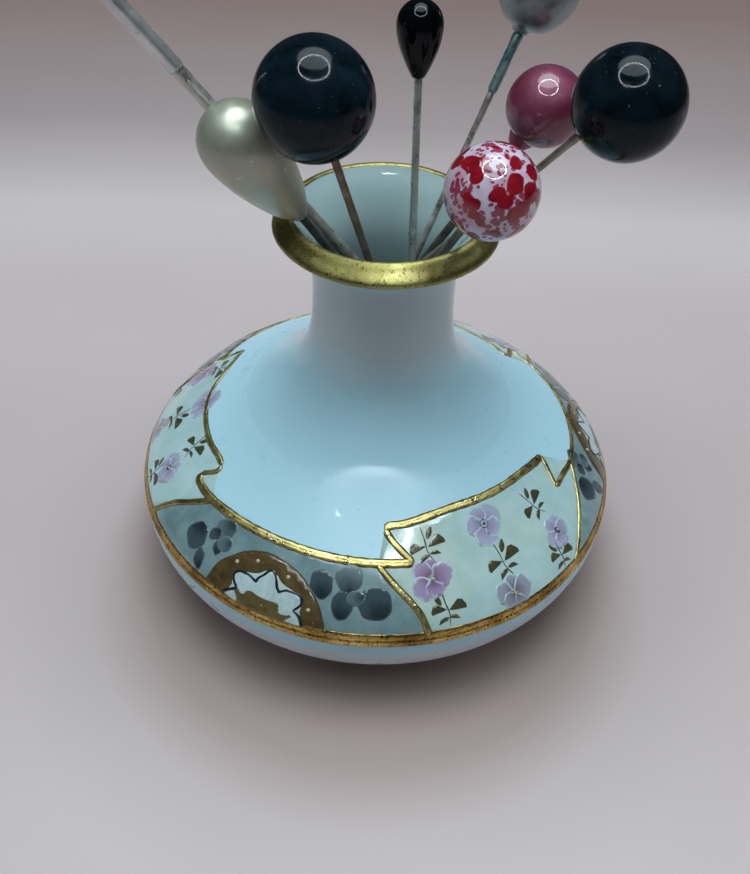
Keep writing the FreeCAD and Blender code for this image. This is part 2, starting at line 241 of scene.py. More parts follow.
def make_gilt(name, light, mid, dark, pit=0.55, rough=(0.24, 0.5), scale=1.0, pits=(0.60, 0.70), back=None):
    m, nt, b = new_material(name)
    b.inputs["Metallic"].default_value = 1.0
    coords = object_coords(nt)
    broad = noise_fac(nt, 230.0 * scale, 3.0, coords=coords)
    fine = noise_fac(nt, 2600.0 * scale, 3.0, 0.65, coords=coords)
    grain = noise_fac(nt, 5200.0 * scale, 2.0, coords=coords)
    col = ramp(nt, broad, [(0.30, dark), (0.52, mid), (0.75, light)])
    pits_fac = ramp(nt, fine, [(pits[0], 0.0), (pits[1], 1.0)])
    col = mix(nt, math_node(nt, "MULTIPLY", pits_fac, pit), col, (0.045, 0.032, 0.012))
    # painted shade: the back half of the rim, towards +Y, is mixed part-way towards the darker back colour
    if back:
        sep = node(nt, "ShaderNodeSeparateXYZ")
        nt.links.new(coords, sep.inputs[0])
        painted_shade = math_node(nt, "MULTIPLY", math_node(nt, "ADD", sep.outputs[1], math_node(nt, "MULTIPLY", broad, 0.012)), 42.0, clamp=True)
        col = mix(nt, math_node(nt, "MULTIPLY", painted_shade, 0.40), col, back)
    nt.links.new(col, b.inputs["Base Color"])
    r = ramp(nt, noise_fac(nt, 700.0 * scale, 4.0, coords=coords), [(0.3, rough[0]), (0.7, rough[1])])
    nt.links.new(r, b.inputs["Roughness"])
    height = mix(nt, 0.45, fine, grain)
    bump(nt, b, height, 0.5, 0.00012)
    return m


def make_paint(name, stops, scale=120.0, rough=0.12, speck=None, coat=0.3, detail=5.0, distortion=0.6):
    m, nt, b = new_material(name)
    coords = object_coords(nt)
    col = ramp(nt, noise_fac(nt, scale, detail, 0.6, distortion, coords=coords), stops)
    fine = noise_fac(nt, scale * 7.0, 3.0, coords=coords)
    col = mix(nt, 0.18, col, ramp(nt, fine, [(0.3, 0.25), (0.7, 0.85)]), "OVERLAY")
    if speck:
        sp = ramp(nt, noise_fac(nt, 1500.0, 2.0, coords=coords), [(0.68, 0.0), (0.74, 1.0)])
        col = mix(nt, math_node(nt, "MULTIPLY", sp, 0.6), col, speck)
    nt.links.new(col, b.inputs["Base Color"])
    glaze_surface(b, rough, coat)
    r = ramp(nt, noise_fac(nt, 300.0, 3.0, coords=coords), [(0.3, rough * 0.8), (0.7, rough * 1.7)])
    nt.links.new(r, b.inputs["Roughness"])
    bump(nt, b, fine, 0.12, 0.00008)
    return m


def make_petal(name, centre, edge, ground, vein):
    """Washed enamel: deep towards the flower's heart, thinning out to the ground at the petal's edge."""
    m, nt, b = new_material(name)
    coords = object_coords(nt)
    heart = node(nt, "ShaderNodeAttribute", attribute_name="heart").outputs["Fac"]
    rim_fade = node(nt, "ShaderNodeAttribute", attribute_name="fade").outputs["Fac"]
    n1 = noise_fac(nt, 900.0, 3.0, coords=coords)
    wob = math_node(nt, "ADD", heart, math_node(nt, "MULTIPLY", math_node(nt, "SUBTRACT", n1, 0.5), 0.5))
    col = ramp(nt, wob, [(0.0, vein), (0.25, centre), (0.75, edge), (1.0, edge)])
    soft = ramp(nt, math_node(nt, "ADD", rim_fade,
                              math_node(nt, "MULTIPLY", math_node(nt, "SUBTRACT", n1, 0.5), 0.9)),
                [(0.0, 0.0), (0.62, 0.95)])
    col = mix(nt, soft, ground, col)
    nt.links.new(col, b.inputs["Base Color"])
    glaze_surface(b, 0.14, 0.3)
    bump(nt, b, n1, 0.15, 0.00006)
    return m


def make_metal(name, stops, scale=400.0, rough=(0.25, 0.5), pit=0.5, metallic=0.72, pitcol=(0.06, 0.045, 0.035),
               pits=(0.60, 0.72), streak=None):
    m, nt, b = new_material(name)
    coords = object_coords(nt)
    b.inputs["Metallic"].default_value = metallic
    col = ramp(nt, noise_fac(nt, scale, 4.0, 0.65, coords=coords), stops)
    fine = noise_fac(nt, scale * 5.0, 3.0, 0.7, coords=coords)
    pf = ramp(nt, fine, [(pits[0], 0.0), (pits[1], 1.0)])
    col = mix(nt, math_node(nt, "MULTIPLY", pf, pit), col, pitcol)
    nt.links.new(col, b.inputs["Base Color"])
    r = ramp(nt, noise_fac(nt, scale * 2.0, 3.0, coords=coords), [(0.3, rough[0]), (0.72, rough[1])])
    nt.links.new(r, b.inputs["Roughness"])
    bump(nt, b, fine, 0.45, 0.00008)
    return m


def make_glass_ball(name, deep, cloud, speck, speck_amount=0.35, rough=0.07):
    """Opaque dark glass: near-black with a faint cloud and fine bubbles and dust at the surface."""
    m, nt, b = new_material(name)
    coords = object_coords(nt)
    col = ramp(nt, noise_fac(nt, 170.0, 4.0, 0.6, 0.8, coords=coords), [(0.35, deep), (0.75, cloud)])
    sp = ramp(nt, noise_fac(nt, 2300.0, 1.0, coords=coords), [(0.735, 0.0), (0.80, 1.0)])
    col = mix(nt, math_node(nt, "MULTIPLY", sp, speck_amount), col, speck)
    nt.links.new(col, b.inputs["Base Color"])
    r = ramp(nt, noise_fac(nt, 500.0, 4.0, coords=coords), [(0.35, rough), (0.8, rough * 2.6)])
    nt.links.new(r, b.inputs["Roughness"])
    b.inputs["Specular IOR Level"].default_value = 0.17
    bump(nt, b, noise_fac(nt, 420.0, 3.0, coords=coords), 0.10, 0.0001)
    return m


def make_speckled():
    """White glass marvered in red frit: round blots that run together, and fine crimson specks between them."""
    m, nt, b = new_material("speckled_glass")
    coords = object_coords(nt)
    warp = node(nt, "ShaderNodeTexNoise", {"Scale": 380.0, "Detail": 2.0})
    nt.links.new(coords, warp.inputs["Vector"])
    shift = node(nt, "ShaderNodeVectorMath", operation="SCALE")
    nt.links.new(warp.outputs["Color"], shift.inputs[0])
    shift.inputs["Scale"].default_value = 0.0012
    moved = node(nt, "ShaderNodeVectorMath", operation="ADD")
    nt.links.new(coords, moved.inputs[0])
    nt.links.new(shift.outputs[0], moved.inputs[1])

    def spots(scale, sel_scale, base_size, spread, smooth):
        vor = node(nt, "ShaderNodeTexVoronoi", {"Scale": scale, "Randomness": 1.0, "Smoothness": smooth}, feature="SMOOTH_F1")
        nt.links.new(moved.outputs[0], vor.inputs["Vector"])
        sel = noise_fac(nt, sel_scale, 1.0, coords=coords)
        size = math_node(nt, "ADD", math_node(nt, "MULTIPLY", math_node(nt, "SUBTRACT", sel, 0.5), spread), base_size)
        edge = math_node(nt, "SUBTRACT", size, vor.outputs["Distance"])
        return math_node(nt, "MULTIPLY", edge, 22.0, clamp=True)

    big = spots(470.0, 190.0, 0.53, 0.8, 0.12)
    small = spots(1350.0, 330.0, 0.42, 1.4, 0.06)
    red = ramp(nt, noise_fac(nt, 600.0, 3.0, coords=coords), [(0.3, (0.17, 0.003, 0.009)), (0.7, (0.33, 0.009, 0.022))])
    white = ramp(nt, noise_fac(nt, 300.0, 3.0, coords=coords), [(0.3, (0.62, 0.60, 0.71)), (0.55, (0.55, 0.43, 0.54)), (0.75, (0.44, 0.20, 0.28))])
    col = mix(nt, math_node(nt, "MULTIPLY", small, 0.92), white, (0.27, 0.010, 0.040))
    col = mix(nt, big, col, red)
    nt.links.new(col, b.inputs["Base Color"])
    b.inputs["Roughness"].default_value = 0.07
    b.inputs["Coat Weight"].default_value = 0.4
    b.inputs["Coat Roughness"].default_value = 0.03
    b.inputs["Subsurface Weight"].default_value = 0.05
    b.inputs["Subsurface Radius"].default_value = (0.001, 0.0006, 0.0006)
    b.inputs["Subsurface Scale"].default_value = 1.0
    bump(nt, b, big, 0.10, 0.0001)
    return m


def make_pearl(name, stops, rough=0.28, metallic=0.35, coat=0.35, chips=None, scale=160.0, coat_rough=0.12, painted_floor_reflection=None):
    m, nt, b = new_material(name)
    coords = object_coords(nt)
    col = ramp(nt, noise_fac(nt, scale, 4.0, 0.55, 0.9, coords=coords), stops)
    if painted_floor_reflection:
        # painted reflection: down the drop the colour is mixed towards a cream tone that stands in for the floor
        # reflected in it: (upper level, lower level, tone)
        sep = node(nt, "ShaderNodeSeparateXYZ")
        nt.links.new(coords, sep.inputs[0])
        down = math_node(nt, "MULTIPLY", math_node(nt, "SUBTRACT", painted_floor_reflection[0], sep.outputs[2]), 1.0 / (painted_floor_reflection[0] - painted_floor_reflection[1]), clamp=True)
        col = mix(nt, down, col, painted_floor_reflection[2])
    if chips:
        ch = ramp(nt, noise_fac(nt, 950.0, 4.0, 0.6, coords=coords), [(0.665, 0.0), (0.70, 1.0)])
        col = mix(nt, math_node(nt, "MULTIPLY", ch, 0.7), col, chips)
    nt.links.new(col, b.inputs["Base Color"])
    b.inputs["Metallic"].default_value = metallic
    r = ramp(nt, noise_fac(nt, 380.0, 4.0, coords=coords), [(0.3, rough * 0.85), (0.75, rough * 1.5)])
    nt.links.new(r, b.inputs["Roughness"])
    b.inputs["Coat Weight"].default_value = coat
    b.inputs["Coat Roughness"].default_value = coat_rough
    bump(nt, b, noise_fac(nt, 620.0, 4.0, coords=coords), 0.05, 0.0001)
    return m


PORCELAIN = make_porcelain()
# painted shade: the inside is the same glaze given darker, greyer colours, for the shade inside the bore
PORCELAIN_IN = make_porcelain("porcelain_inside", [(0.3, (0.32, 0.44, 0.445)), (0.7, (0.39, 0.52, 0.52))], 0.5)
# the rim's back colour is painted shade on its far half
GILT_RIM = make_gilt("gilt_rim", (0.47, 0.435, 0.17), (0.34, 0.305, 0.105), (0.215, 0.185, 0.06), pit=0.85, rough=(0.32, 0.55), pits=(0.56, 0.66), back=(0.075, 0.055, 0.022))
GILT_LINE = make_gilt("gilt_line", (0.98, 0.84, 0.40), (0.68, 0.56, 0.20), (0.30, 0.23, 0.08), pit=0.75,
                      rough=(0.2, 0.5), pits=(0.56, 0.68))
GILT_BAND = make_gilt("gilt_band", (0.95, 0.66, 0.24), (0.62, 0.40, 0.11), (0.27, 0.155, 0.04), pit=0.8, pits=(0.52, 0.64),
                      rough=(0.22, 0.42))
CREAM_GROUND = make_paint("cream_ground", [(0.28, (0.385, 0.56, 0.55)), (0.5, (0.42, 0.62, 0.62)), (0.76, (0.47, 0.57, 0.43))], 38.0, rough=0.10)
BLUE_GROUND = make_paint("blue_ground", [(0.25, (0.115, 0.195, 0.205)), (0.5, (0.185, 0.29, 0.30)), (0.78, (0.29, 0.40, 0.40))], 100.0)
BROWN_GROUND = make_paint("medallion_ground", [(0.3, (0.045, 0.033, 0.013)), (0.55, (0.095, 0.064, 0.024)), (0.8, (0.15, 0.105, 0.042))],
                          260.0, speck=(0.42, 0.28, 0.10))
WHITE_ENAMEL = make_paint("white_enamel", [(0.3, (0.33, 0.47, 0.48)), (0.7, (0.50, 0.63, 0.63))], 200.0)
BLACK_ENAMEL = make_paint("black_enamel", [(0.3, (0.006, 0.012, 0.014)), (0.7, (0.018, 0.032, 0.036))], 500.0)
OLIVE_ENAMEL = make_paint("olive_enamel", [(0.3, (0.030, 0.038, 0.022)), (0.55, (0.075, 0.068, 0.030)), (0.75, (0.16, 0.105, 0.045))], 420.0)
STAR_ENAMEL = make_paint("star_enamel", [(0.3, (0.075, 0.058, 0.018)), (0.7, (0.15, 0.12, 0.045))], 500.0)
LEAF_BLUE = make_petal("leaf_blue", (0.018, 0.032, 0.039), (0.045, 0.074, 0.084), (0.085, 0.130, 0.140), (0.008, 0.015, 0.020))
LEAF_LIGHT = make_petal("leaf_light", (0.036, 0.062, 0.070), (0.090, 0.140, 0.150), (0.16, 0.23, 0.24), (0.014, 0.024, 0.030))
PETAL_PINK = make_petal("petal_pink", (0.21, 0.10, 0.22), (0.35, 0.26, 0.42), (0.44, 0.60, 0.62), (0.10, 0.045, 0.10))
PETAL_LILAC = make_petal("petal_lilac", (0.28, 0.24, 0.40), (0.38, 0.39, 0.53), (0.44, 0.62, 0.63), (0.15, 0.10, 0.17))
PETAL_GREY = make_petal("petal_grey", (0.17, 0.15, 0.20), (0.30, 0.31, 0.39), (0.43, 0.58, 0.57), (0.08, 0.06, 0.09))
STUD_ENAMEL = make_paint("stud_enamel", [(0.3, (0.40, 0.34, 0.20)), (0.7, (0.58, 0.52, 0.36))], 600.0)
YELLOW_ENAMEL = make_paint("yellow_enamel", [(0.3, (0.55, 0.40, 0.10)), (0.7, (0.70, 0.58, 0.25))], 600.0)

# -------------------------------------------------------------------- vase
OUTER_PTS = [(20.9, 1.3), (24.7, 1.75), (28.6, 2.75), (32.4, 5.0), (35.5, 8.0), (37.35, 11.2), (38.0, 14.6),
             (37.55, 17.3), (35.8, 19.7), (32.4, 22.6), (28.0, 25.5), (23.5, 28.3), (19.3, 31.0), (16.0, 33.7),
             (13.5, 36.2), (11.8, 38.8), (10.75, 42.0), (10.27, 46.0), (10.15, 50.0), (10.3, 53.47),
             (10.95, 56.36), (12.3, 58.19), (14.1, 59.01)]
LIP_PTS = [(14.1, 59.01), (15.1, 59.27), (15.45, 59.83), (15.15, 60.43), (14.25, 61.13), (13.25, 61.85),
           (12.83, 61.83), (12.53, 61.5)]
INNER_PTS = [(12.53, 61.5), (11.6, 60.5), (10.35, 58.67), (9.4, 56.74), (8.5, 53.85), (8.25, 50.0), (8.32, 46.0),
             (8.6, 43.0), (9.4, 40.0), (10.8, 37.0), (13.1, 34.0), (16.9, 30.5), (20.4, 27.6), (24.9, 24.8),
             (29.4, 21.8), (33.0, 18.8), (35.3, 15.9), (35.7, 13.2), (34.7, 10.2), (32.0, 7.1), (27.6, 4.6),
             (20.0, 3.25), (10.0, 3.1), (0.0, 3.1)]
outer = natural_spline(OUTER_PTS, 0.55)
lip = natural_spline(LIP_PTS, 0.16)
inner = natural_spline(INNER_PTS, 0.9)
inner[-1] = (0.0, 3.1)

# arc length s along the outside, 0 at the widest point, up the shoulder positive
_fine = natural_spline(OUTER_PTS, 0.05)
_arc = np.r_[0, np.cumsum(np.hypot(*np.diff(_fine, axis=0).T))]
_arc -= _arc[np.argmax(_fine[:, 0])]
_tan = np.gradient(_fine, axis=0)
_tan /= np.hypot(_tan[:, 0], _tan[:, 1])[:, None]
_nrm = np.stack([_tan[:, 1], -_tan[:, 0]], 1)


def wobble(theta, z):
    """Slight unevenness of a hand-finished shoulder, in mm along the normal."""
    w = max(0.0, min(1.0, (z - 9.0) / 5.0)) * max(0.0, min(1.0, (37.0 - z) / 6.0))
    return w * (0.05 * math.sin(2 * theta + 0.8) + 0.035 * math.sin(3 * theta - 1.1)
                + 0.02 * math.sin(5 * theta + z * 0.3))


def surf(theta_deg, s, lift):
    """Point on the outside of the vase, theta from the front towards +X, lifted along the normal."""
    th = math.radians(theta_deg)
    r = float(np.interp(s, _arc, _fine[:, 0]))
    z = float(np.interp(s, _arc, _fine[:, 1]))
    nr = float(np.interp(s, _arc, _nrm[:, 0]))
    nz = float(np.interp(s, _arc, _nrm[:, 1]))
    h = lift + wobble(th, z)
    rr, zz = r + nr * h, z + nz * h
    return (rr * math.sin(th) * MM, -rr * math.cos(th) * MM, zz * MM)


def radius_at(s):
    return float(np.interp(s, _arc, _fine[:, 0]))


def make_vase():
    foot = [(19.9, 0.0), (20.1, 0.25), (20.4, 0.75), (20.9, 1.3)]
    under = [(0.0, 1.3), (6.0, 1.3), (12.0, 1.3), (16.6, 1.3), (17.25, 1.2), (17.55, 0.85), (17.75, 0.3), (17.95, 0.0), (19.0, -0.0)]
    prof = [tuple(p) for p in under] + foot + [tuple(p) for p in outer[1:]]
    lip_start = len(prof) - 1
    prof += [tuple(p) for p in lip[1:]]
    lip_end = len(prof) - 1
    prof += [tuple(p) for p in inner[1:]]
    segs = 256
    verts, rows = [], []
    for i, (r, z) in enumerate(prof):
        if r < 1e-6:
            rows.append([len(verts)])
            verts.append((0.0, 0.0, z * MM))
            continue
        row = []
        for k in range(segs):
            th = 2 * math.pi * k / segs
            rr, zz = r, z
            if len(under) + 3 < i < lip_start:
                w = wobble(th, z)
                j = min(len(_arc) - 1, int(np.argmin((_fine[:, 0] - r) ** 2 + (_fine[:, 1] - z) ** 2)))
                rr += _nrm[j, 0] * w
                zz += _nrm[j, 1] * w
            elif lip_start <= i <= lip_end:
                zz += 0.05 * math.sin(2 * th + 1.0) + 0.03 * math.sin(5 * th) * (1 if i < lip_end else 0)
            row.append(len(verts))
            verts.append((rr * math.sin(th) * MM, -rr * math.cos(th) * MM, zz * MM))
        rows.append(row)
    faces, mats = [], []
    for i in range(len(rows) - 1):
        a, b = rows[i], rows[i + 1]
        gilt = lip_start - 1 <= i < lip_end - 1
        for k in range(segs):
            k2 = (k + 1) % segs
            if len(a) == 1:
                faces.append((a[0], b[k2], b[k]))
            elif len(b) == 1:
                faces.append((a[k], a[k2], b[0]))
            else:
                faces.append((a[k], a[k2], b[k2], b[k]))
            mats.append(1 if gilt else (2 if i >= lip_end - 1 else 0))
    obj = add_object("vase_porcelain", verts, faces, [PORCELAIN, GILT_RIM, PORCELAIN_IN], "holder", ["holder_vase"])
    obj.data.polygons.foreach_set("material_index", mats)
    return obj


make_vase()
# ------------------------------------------------------------- decoration
def surf_many(theta_deg, s, lift):
    th = np.radians(np.asarray(theta_deg, float))
    s = np.asarray(s, float)
    r, z = np.interp(s, _arc, _fine[:, 0]), np.interp(s, _arc, _fine[:, 1])
    nr, nz = np.interp(s, _arc, _nrm[:, 0]), np.interp(s, _arc, _nrm[:, 1])
    w = np.clip((z - 9.0) / 5.0, 0, 1) * np.clip((37.0 - z) / 6.0, 0, 1)
    h = np.asarray(lift, float) + w * (0.05 * np.sin(2 * th + 0.8) + 0.035 * np.sin(3 * th - 1.1)
                                       + 0.02 * np.sin(5 * th + z * 0.3))
    rr, zz = r + nr * h, z + nz * h
    return np.stack([rr * np.sin(th), -rr * np.cos(th), zz], -1) * MM


def densify(poly, step, closed=True):
    out = []
    n = len(poly)
    for i in range(n if closed else n - 1):
        a, b = poly[i], poly[(i + 1) % n]
        r = radius_at(0.5 * (a[1] + b[1]))
        length = math.hypot(math.radians(b[0] - a[0]) * r, b[1] - a[1])
        k = max(1, int(math.ceil(length / step)))
        for j in range(k):
            t = j / k
            out.append((a[0] + (b[0] - a[0]) * t, a[1] + (b[1] - a[1]) * t))
    if not closed:
        out.append(tuple(poly[-1]))
    return out


def edge_distance(pts, loop):
    a = np.asarray(loop)
    b = np.roll(a, -1, 0)
    best = np.full(len(pts), 1e9)
    for p, q in zip(a, b):
        d = q - p
        t = np.clip(((pts - p) @ d) / max(1e-12, d @ d), 0, 1)
        best = np.minimum(best, np.hypot(*(pts - p - t[:, None] * d).T))
    return best


def inside(pts, loop):
    a = np.asarray(loop)
    b = np.roll(a, -1, 0)
    odd = np.zeros(len(pts), bool)
    for p, q in zip(a, b):
        cross = (p[1] > pts[:, 1]) != (q[1] > pts[:, 1])
        with np.errstate(divide="ignore", invalid="ignore"):
            x = (q[0] - p[0]) * (pts[:, 1] - p[1]) / (q[1] - p[1]) + p[0]
        odd ^= cross & (pts[:, 0] < x)
    return odd


class Batch:
    """Several thin enamel or gilt pieces of one kind, joined in one mesh."""

    def __init__(self):
        self.v, self.f, self.att, self.n = [], [], {}, 0

    def add(self, verts, faces, **att):
        self.v.append(np.asarray(verts, float))
        self.f += [tuple(i + self.n for i in f) for f in faces]
        for k in ("heart", "fade"):
            self.att.setdefault(k, []).append(np.asarray(att.get(k, np.zeros(len(verts))), float))
        self.n += len(verts)

    def build(self, name, material, smooth=True):
        obj = add_object(name, np.concatenate(self.v), self.f, material, "holder", smooth=smooth)
        for k, a in self.att.items():
            float_attribute(obj, k, np.concatenate(a))
        return obj


def patch(batch, poly, lift, step=0.8, edge=0.4, sink=-0.05, crown=0.0, crown_width=0.6, heart=None, heart_radius=1.0,
          fade_width=0.5):
    """A thin coat of enamel over the polygon of (theta, s) points, closed all round, its back sunk in the glaze."""
    poly = densify(poly, edge)
    s0 = sum(p[1] for p in poly) / len(poly)
    r0 = radius_at(s0)
    loop = np.array([(math.radians(p[0]) * r0, p[1]) for p in poly])
    lo, hi = loop.min(0), loop.max(0)
    gx, gy = np.meshgrid(np.arange(lo[0] + step / 2, hi[0], step), np.arange(lo[1] + step / 2, hi[1], step))
    grid = np.stack([gx.ravel(), gy.ravel()], 1)
    grid[:, 0] += (np.arange(len(grid)) // max(1, gx.shape[1]) % 2) * step * 0.5
    if len(grid):
        grid = grid[inside(grid, loop)]
    if len(grid):
        grid = grid[edge_distance(grid, loop) > 0.4 * step]
    n = len(loop)
    pts = [Vector(p) for p in loop] + [Vector(p) for p in grid]
    out = delaunay_2d_cdt(pts, [(i, (i + 1) % n) for i in range(n)], [], 1, 1e-6, False)
    xy = np.array([(p[0], p[1]) for p in out[0]])
    tris = [tuple(f) for f in out[2]]
    dist = edge_distance(xy, loop)
    u = np.clip(dist / crown_width, 0, 1)
    th, ss = np.degrees(xy[:, 0] / r0), xy[:, 1]
    top = surf_many(th, ss, lift + crown * u * (2 - u))
    low = surf_many(th, ss, np.full(len(ss), sink))
    m = len(xy)
    count = {}
    for t in tris:
        for i in range(3):
            e = (t[i], t[(i + 1) % 3])
            count[e] = count.get(e, 0) + 1
    rim = [e for e in count if (e[1], e[0]) not in count]
    faces = list(tris) + [(t[2] + m, t[1] + m, t[0] + m) for t in tris] + [(b, a, a + m, b + m) for a, b in rim]
    if heart is None:
        hv = np.zeros(m)
    else:
        hv = np.clip(np.hypot((xy[:, 0] - math.radians(heart[0]) * r0), xy[:, 1] - heart[1]) / heart_radius, 0, 1)
    fv = np.clip(dist / fade_width, 0, 1)
    batch.add(np.concatenate([top, low]), faces, heart=np.r_[hv, hv], fade=np.r_[fv, fv])


def path_in_mm(points):
    """(theta, s) points with the running tangent and the local radius."""
    pts = np.asarray(points, float)
    r = np.interp(pts[:, 1], _arc, _fine[:, 0])
    d = np.gradient(pts, axis=0)
    dx, dy = np.radians(d[:, 0]) * r, d[:, 1]
    ln = np.maximum(1e-9, np.hypot(dx, dy))
    return pts, r, dx / ln, dy / ln


def ribbon(batch, points, width, height, base=0.0, sink=-0.05, step=0.2, across=7, rough=0.0, vary=0.08, taper=0.6, seed=0.0,
           groove=0.0, curve=True, corners=()):
    """A raised line along (theta, s) points: rounded across, a little uneven, its underside sunk in the glaze."""
    if curve:
        r = radius_at(points[0][1])
        k = 180 / math.pi / r
        flat = smooth_path([(p[0] / k, p[1]) for p in points], step, corners)
        points = [(p[0] * k, p[1]) for p in flat]
    else:
        points = densify(points, step, closed=False)
    pts, r, tx, ty = path_in_mm(points)
    n = len(pts)
    run = np.r_[0, np.cumsum(np.hypot(np.radians(np.diff(pts[:, 0])) * r[:-1], np.diff(pts[:, 1])))]
    end = np.minimum(run, run[-1] - run)
    w = np.array([width * (1 + vary * noise.noise(Vector((run[i] * 0.9, seed, 0.3)))) for i in range(n)])
    if taper > 0:
        w *= np.sqrt(np.clip(end / taper, 0.04, 1))
    t = np.linspace(-1, 1, across)
    rows = []
    for j, tj in enumerate(t):
        off = w * 0.5 * tj
        th = pts[:, 0] + np.degrees(-ty * off / r)
        ss = pts[:, 1] + tx * off
        prof = max(0.0, 1 - abs(tj) ** 2.6) ** 0.6 - groove * math.exp(-(tj / 0.22) ** 2)
        h = base + height * prof * np.sqrt(np.clip(end / max(0.15, taper), 0.1, 1))
        if rough > 0 and 0 < j < across - 1:
            h = h + rough * np.array([noise.noise(Vector((pts[i, 0] * r[i] * 0.017453 * 4.2 + seed, ss[i] * 4.2, tj)))
                                      + 0.6 * noise.noise(Vector((pts[i, 0] * r[i] * 0.017453 * 10.0, ss[i] * 10.0, seed)))
                                      for i in range(n)])
        rows.append(surf_many(th, ss, h))
    for tj in (1, -1):
        off = w * 0.5 * tj
        rows.append(surf_many(pts[:, 0] + np.degrees(-ty * off / r), pts[:, 1] + tx * off, np.full(n, sink)))
    k = len(rows)
    verts = np.stack(rows, 1).reshape(-1, 3)
    faces = []
    for i in range(n - 1):
        for j in range(k):
            j2 = (j + 1) % k
            faces.append((i * k + j, i * k + j2, (i + 1) * k + j2, (i + 1) * k + j))
    faces.append(tuple(range(k - 1, -1, -1)))
    faces.append(tuple((n - 1) * k + j for j in range(k)))
    batch.add(verts, faces)


def local(centre, dx, dy):
    """The (theta, s) point dx, dy mm from centre on the surface."""
    r = radius_at(centre[1])
    return (centre[0] + math.degrees(dx / r), centre[1] + dy)


def blob(centre, length, width, angle, point=0.35, n=22, wave=0.05, seed=0.0):
    """Leaf or petal outline: centre is its middle, angle the direction of its tip, in degrees from +theta."""
    a = math.radians(angle)
    out = []
    for k in range(n):
        u = 2 * math.pi * k / n
        x = math.cos(u) * length / 2
        y = math.sin(u) * width / 2
        taper_k = 1 - point * max(0.0, math.cos(u)) ** 1.5 * 0.9 - point * 0.35 * max(0.0, -math.cos(u)) ** 2
        y *= taper_k
        q = 1 + wave * noise.noise(Vector((math.cos(u) * 1.7 + seed, math.sin(u) * 1.7, seed)))* 2
        x, y = x * q, y * q
        out.append(local(centre, x * math.cos(a) - y * math.sin(a), x * math.sin(a) + y * math.cos(a)))
    return out


def dome(batch, centre, radius, height, base=0.0, rings=4, seg=12):
    verts, faces = [], []
    verts.append(surf(*centre, base + height))
    for i in range(1, rings + 1):
        a = math.pi / 2 * i / rings
        for k in range(seg):
            u = 2 * math.pi * k / seg
            q = local(centre, radius * math.sin(a) * math.cos(u), radius * math.sin(a) * math.sin(u))
            verts.append(surf(*q, base + height * math.cos(a) - (0.06 + base if i == rings else 0.0)))
    for k in range(seg):
        faces.append((0, 1 + k, 1 + (k + 1) % seg))
    for i in range(rings - 1):
        for k in range(seg):
            a, b = 1 + i * seg + k, 1 + i * seg + (k + 1) % seg
            faces.append((a, a + seg, b + seg, b))
    faces.append(tuple(1 + (rings - 1) * seg + k for k in range(seg)))
    batch.add(verts, faces)


def ring(batch, centre, radius, width, height, base, seg=28):
    verts, faces = [], []
    prof = [(-0.5, -0.1), (-0.5, base + height * 0.3), (-0.2, base + height), (0.2, base + height), (0.5, base + height * 0.3), (0.5, -0.1)]
    for k in range(seg):
        u = 2 * math.pi * k / seg
        for o, h in prof:
            q = local(centre, (radius + o * width) * math.cos(u), (radius + o * width) * math.sin(u))
            verts.append(surf(*q, h))
    m = len(prof)
    for k in range(seg):
        k2 = (k + 1) % seg
        for j in range(m):
            faces.append((k * m + j, k2 * m + j, k2 * m + (j + 1) % m, k * m + (j + 1) % m))
    batch.add(verts, faces)


def shifted(points, d):
    return [(p[0] + d, p[1]) for p in points]


RIGHT_TOP = [(3.6, 17.7), (5.2, 18.2), (10.3, 18.4), (18.2, 19.0), (26.6, 19.3), (35.4, 19.1), (45.3, 18.7), (57.2, 18.1), (69.6, 16.8)]
RIGHT_TIP = [(11.2, 12.85), (6.2, 15.8), (3.6, 17.7)]
RIGHT_V = [(69.6, 16.8), (66.7, 14.8), (63.7, 12.4)]
RIGHT_MAIN = [(63.7, 12.4), (69.7, 12.25), (76.4, 11.6), (82.5, 11.5), (95.0, 11.5), (108.0, 11.7), (118.0, 12.1), (131.2, 12.85)]
DIVIDER_R = [(1.7, 12.7), (5.7, 10.05), (9.2, 7.7), (11.6, 5.4), (12.9, 2.6)]
DIVIDER_NEXT = [(76.4, 11.6), (70.3, 9.5), (64.8, 7.45), (59.7, 5.5), (53.6, 2.6)]
LEFT_TOP = [(-120.3, 16.5), (-108.8, 17.0), (-99.0, 16.3), (-90.0, 16.0), (-79.2, 16.2), (-70.2, 16.4), (-62.6, 16.8), (-58.3, 16.6)]
LEFT_V = [(-58.3, 16.6), (-57.9, 15.4), (-61.5, 13.2)]
LEFT_TIP = [(-115.8, 12.75), (-118.6, 14.8), (-120.3, 16.5)]
MAIN = [(-61.5, 13.2), (-60.0, 12.45), (-56.6, 12.3), (-52.0, 12.35), (-45.1, 12.7), (-35.0, 13.05), (-24.5, 13.2), (-12.0, 13.15), (0.0, 13.0), (11.2, 12.85)]
DIVIDER_L = [(-51.2, 12.2), (-55.9, 9.7), (-60.6, 6.9), (-65.1, 2.6)]
LEFT_EDGE = [(-118.3, 12.6), (-114.3, 10.05), (-110.8, 7.7), (-108.4, 5.4), (-107.1, 2.6)]
BACK_MAIN = [(183.7, 12.4), (189.7, 12.25), (196.4, 11.6), (202.5, 11.5), (215.0, 11.5), (228.0, 11.7), (238.0, 12.1), (244.2, 12.75)]
BAND_TOP = 3.25

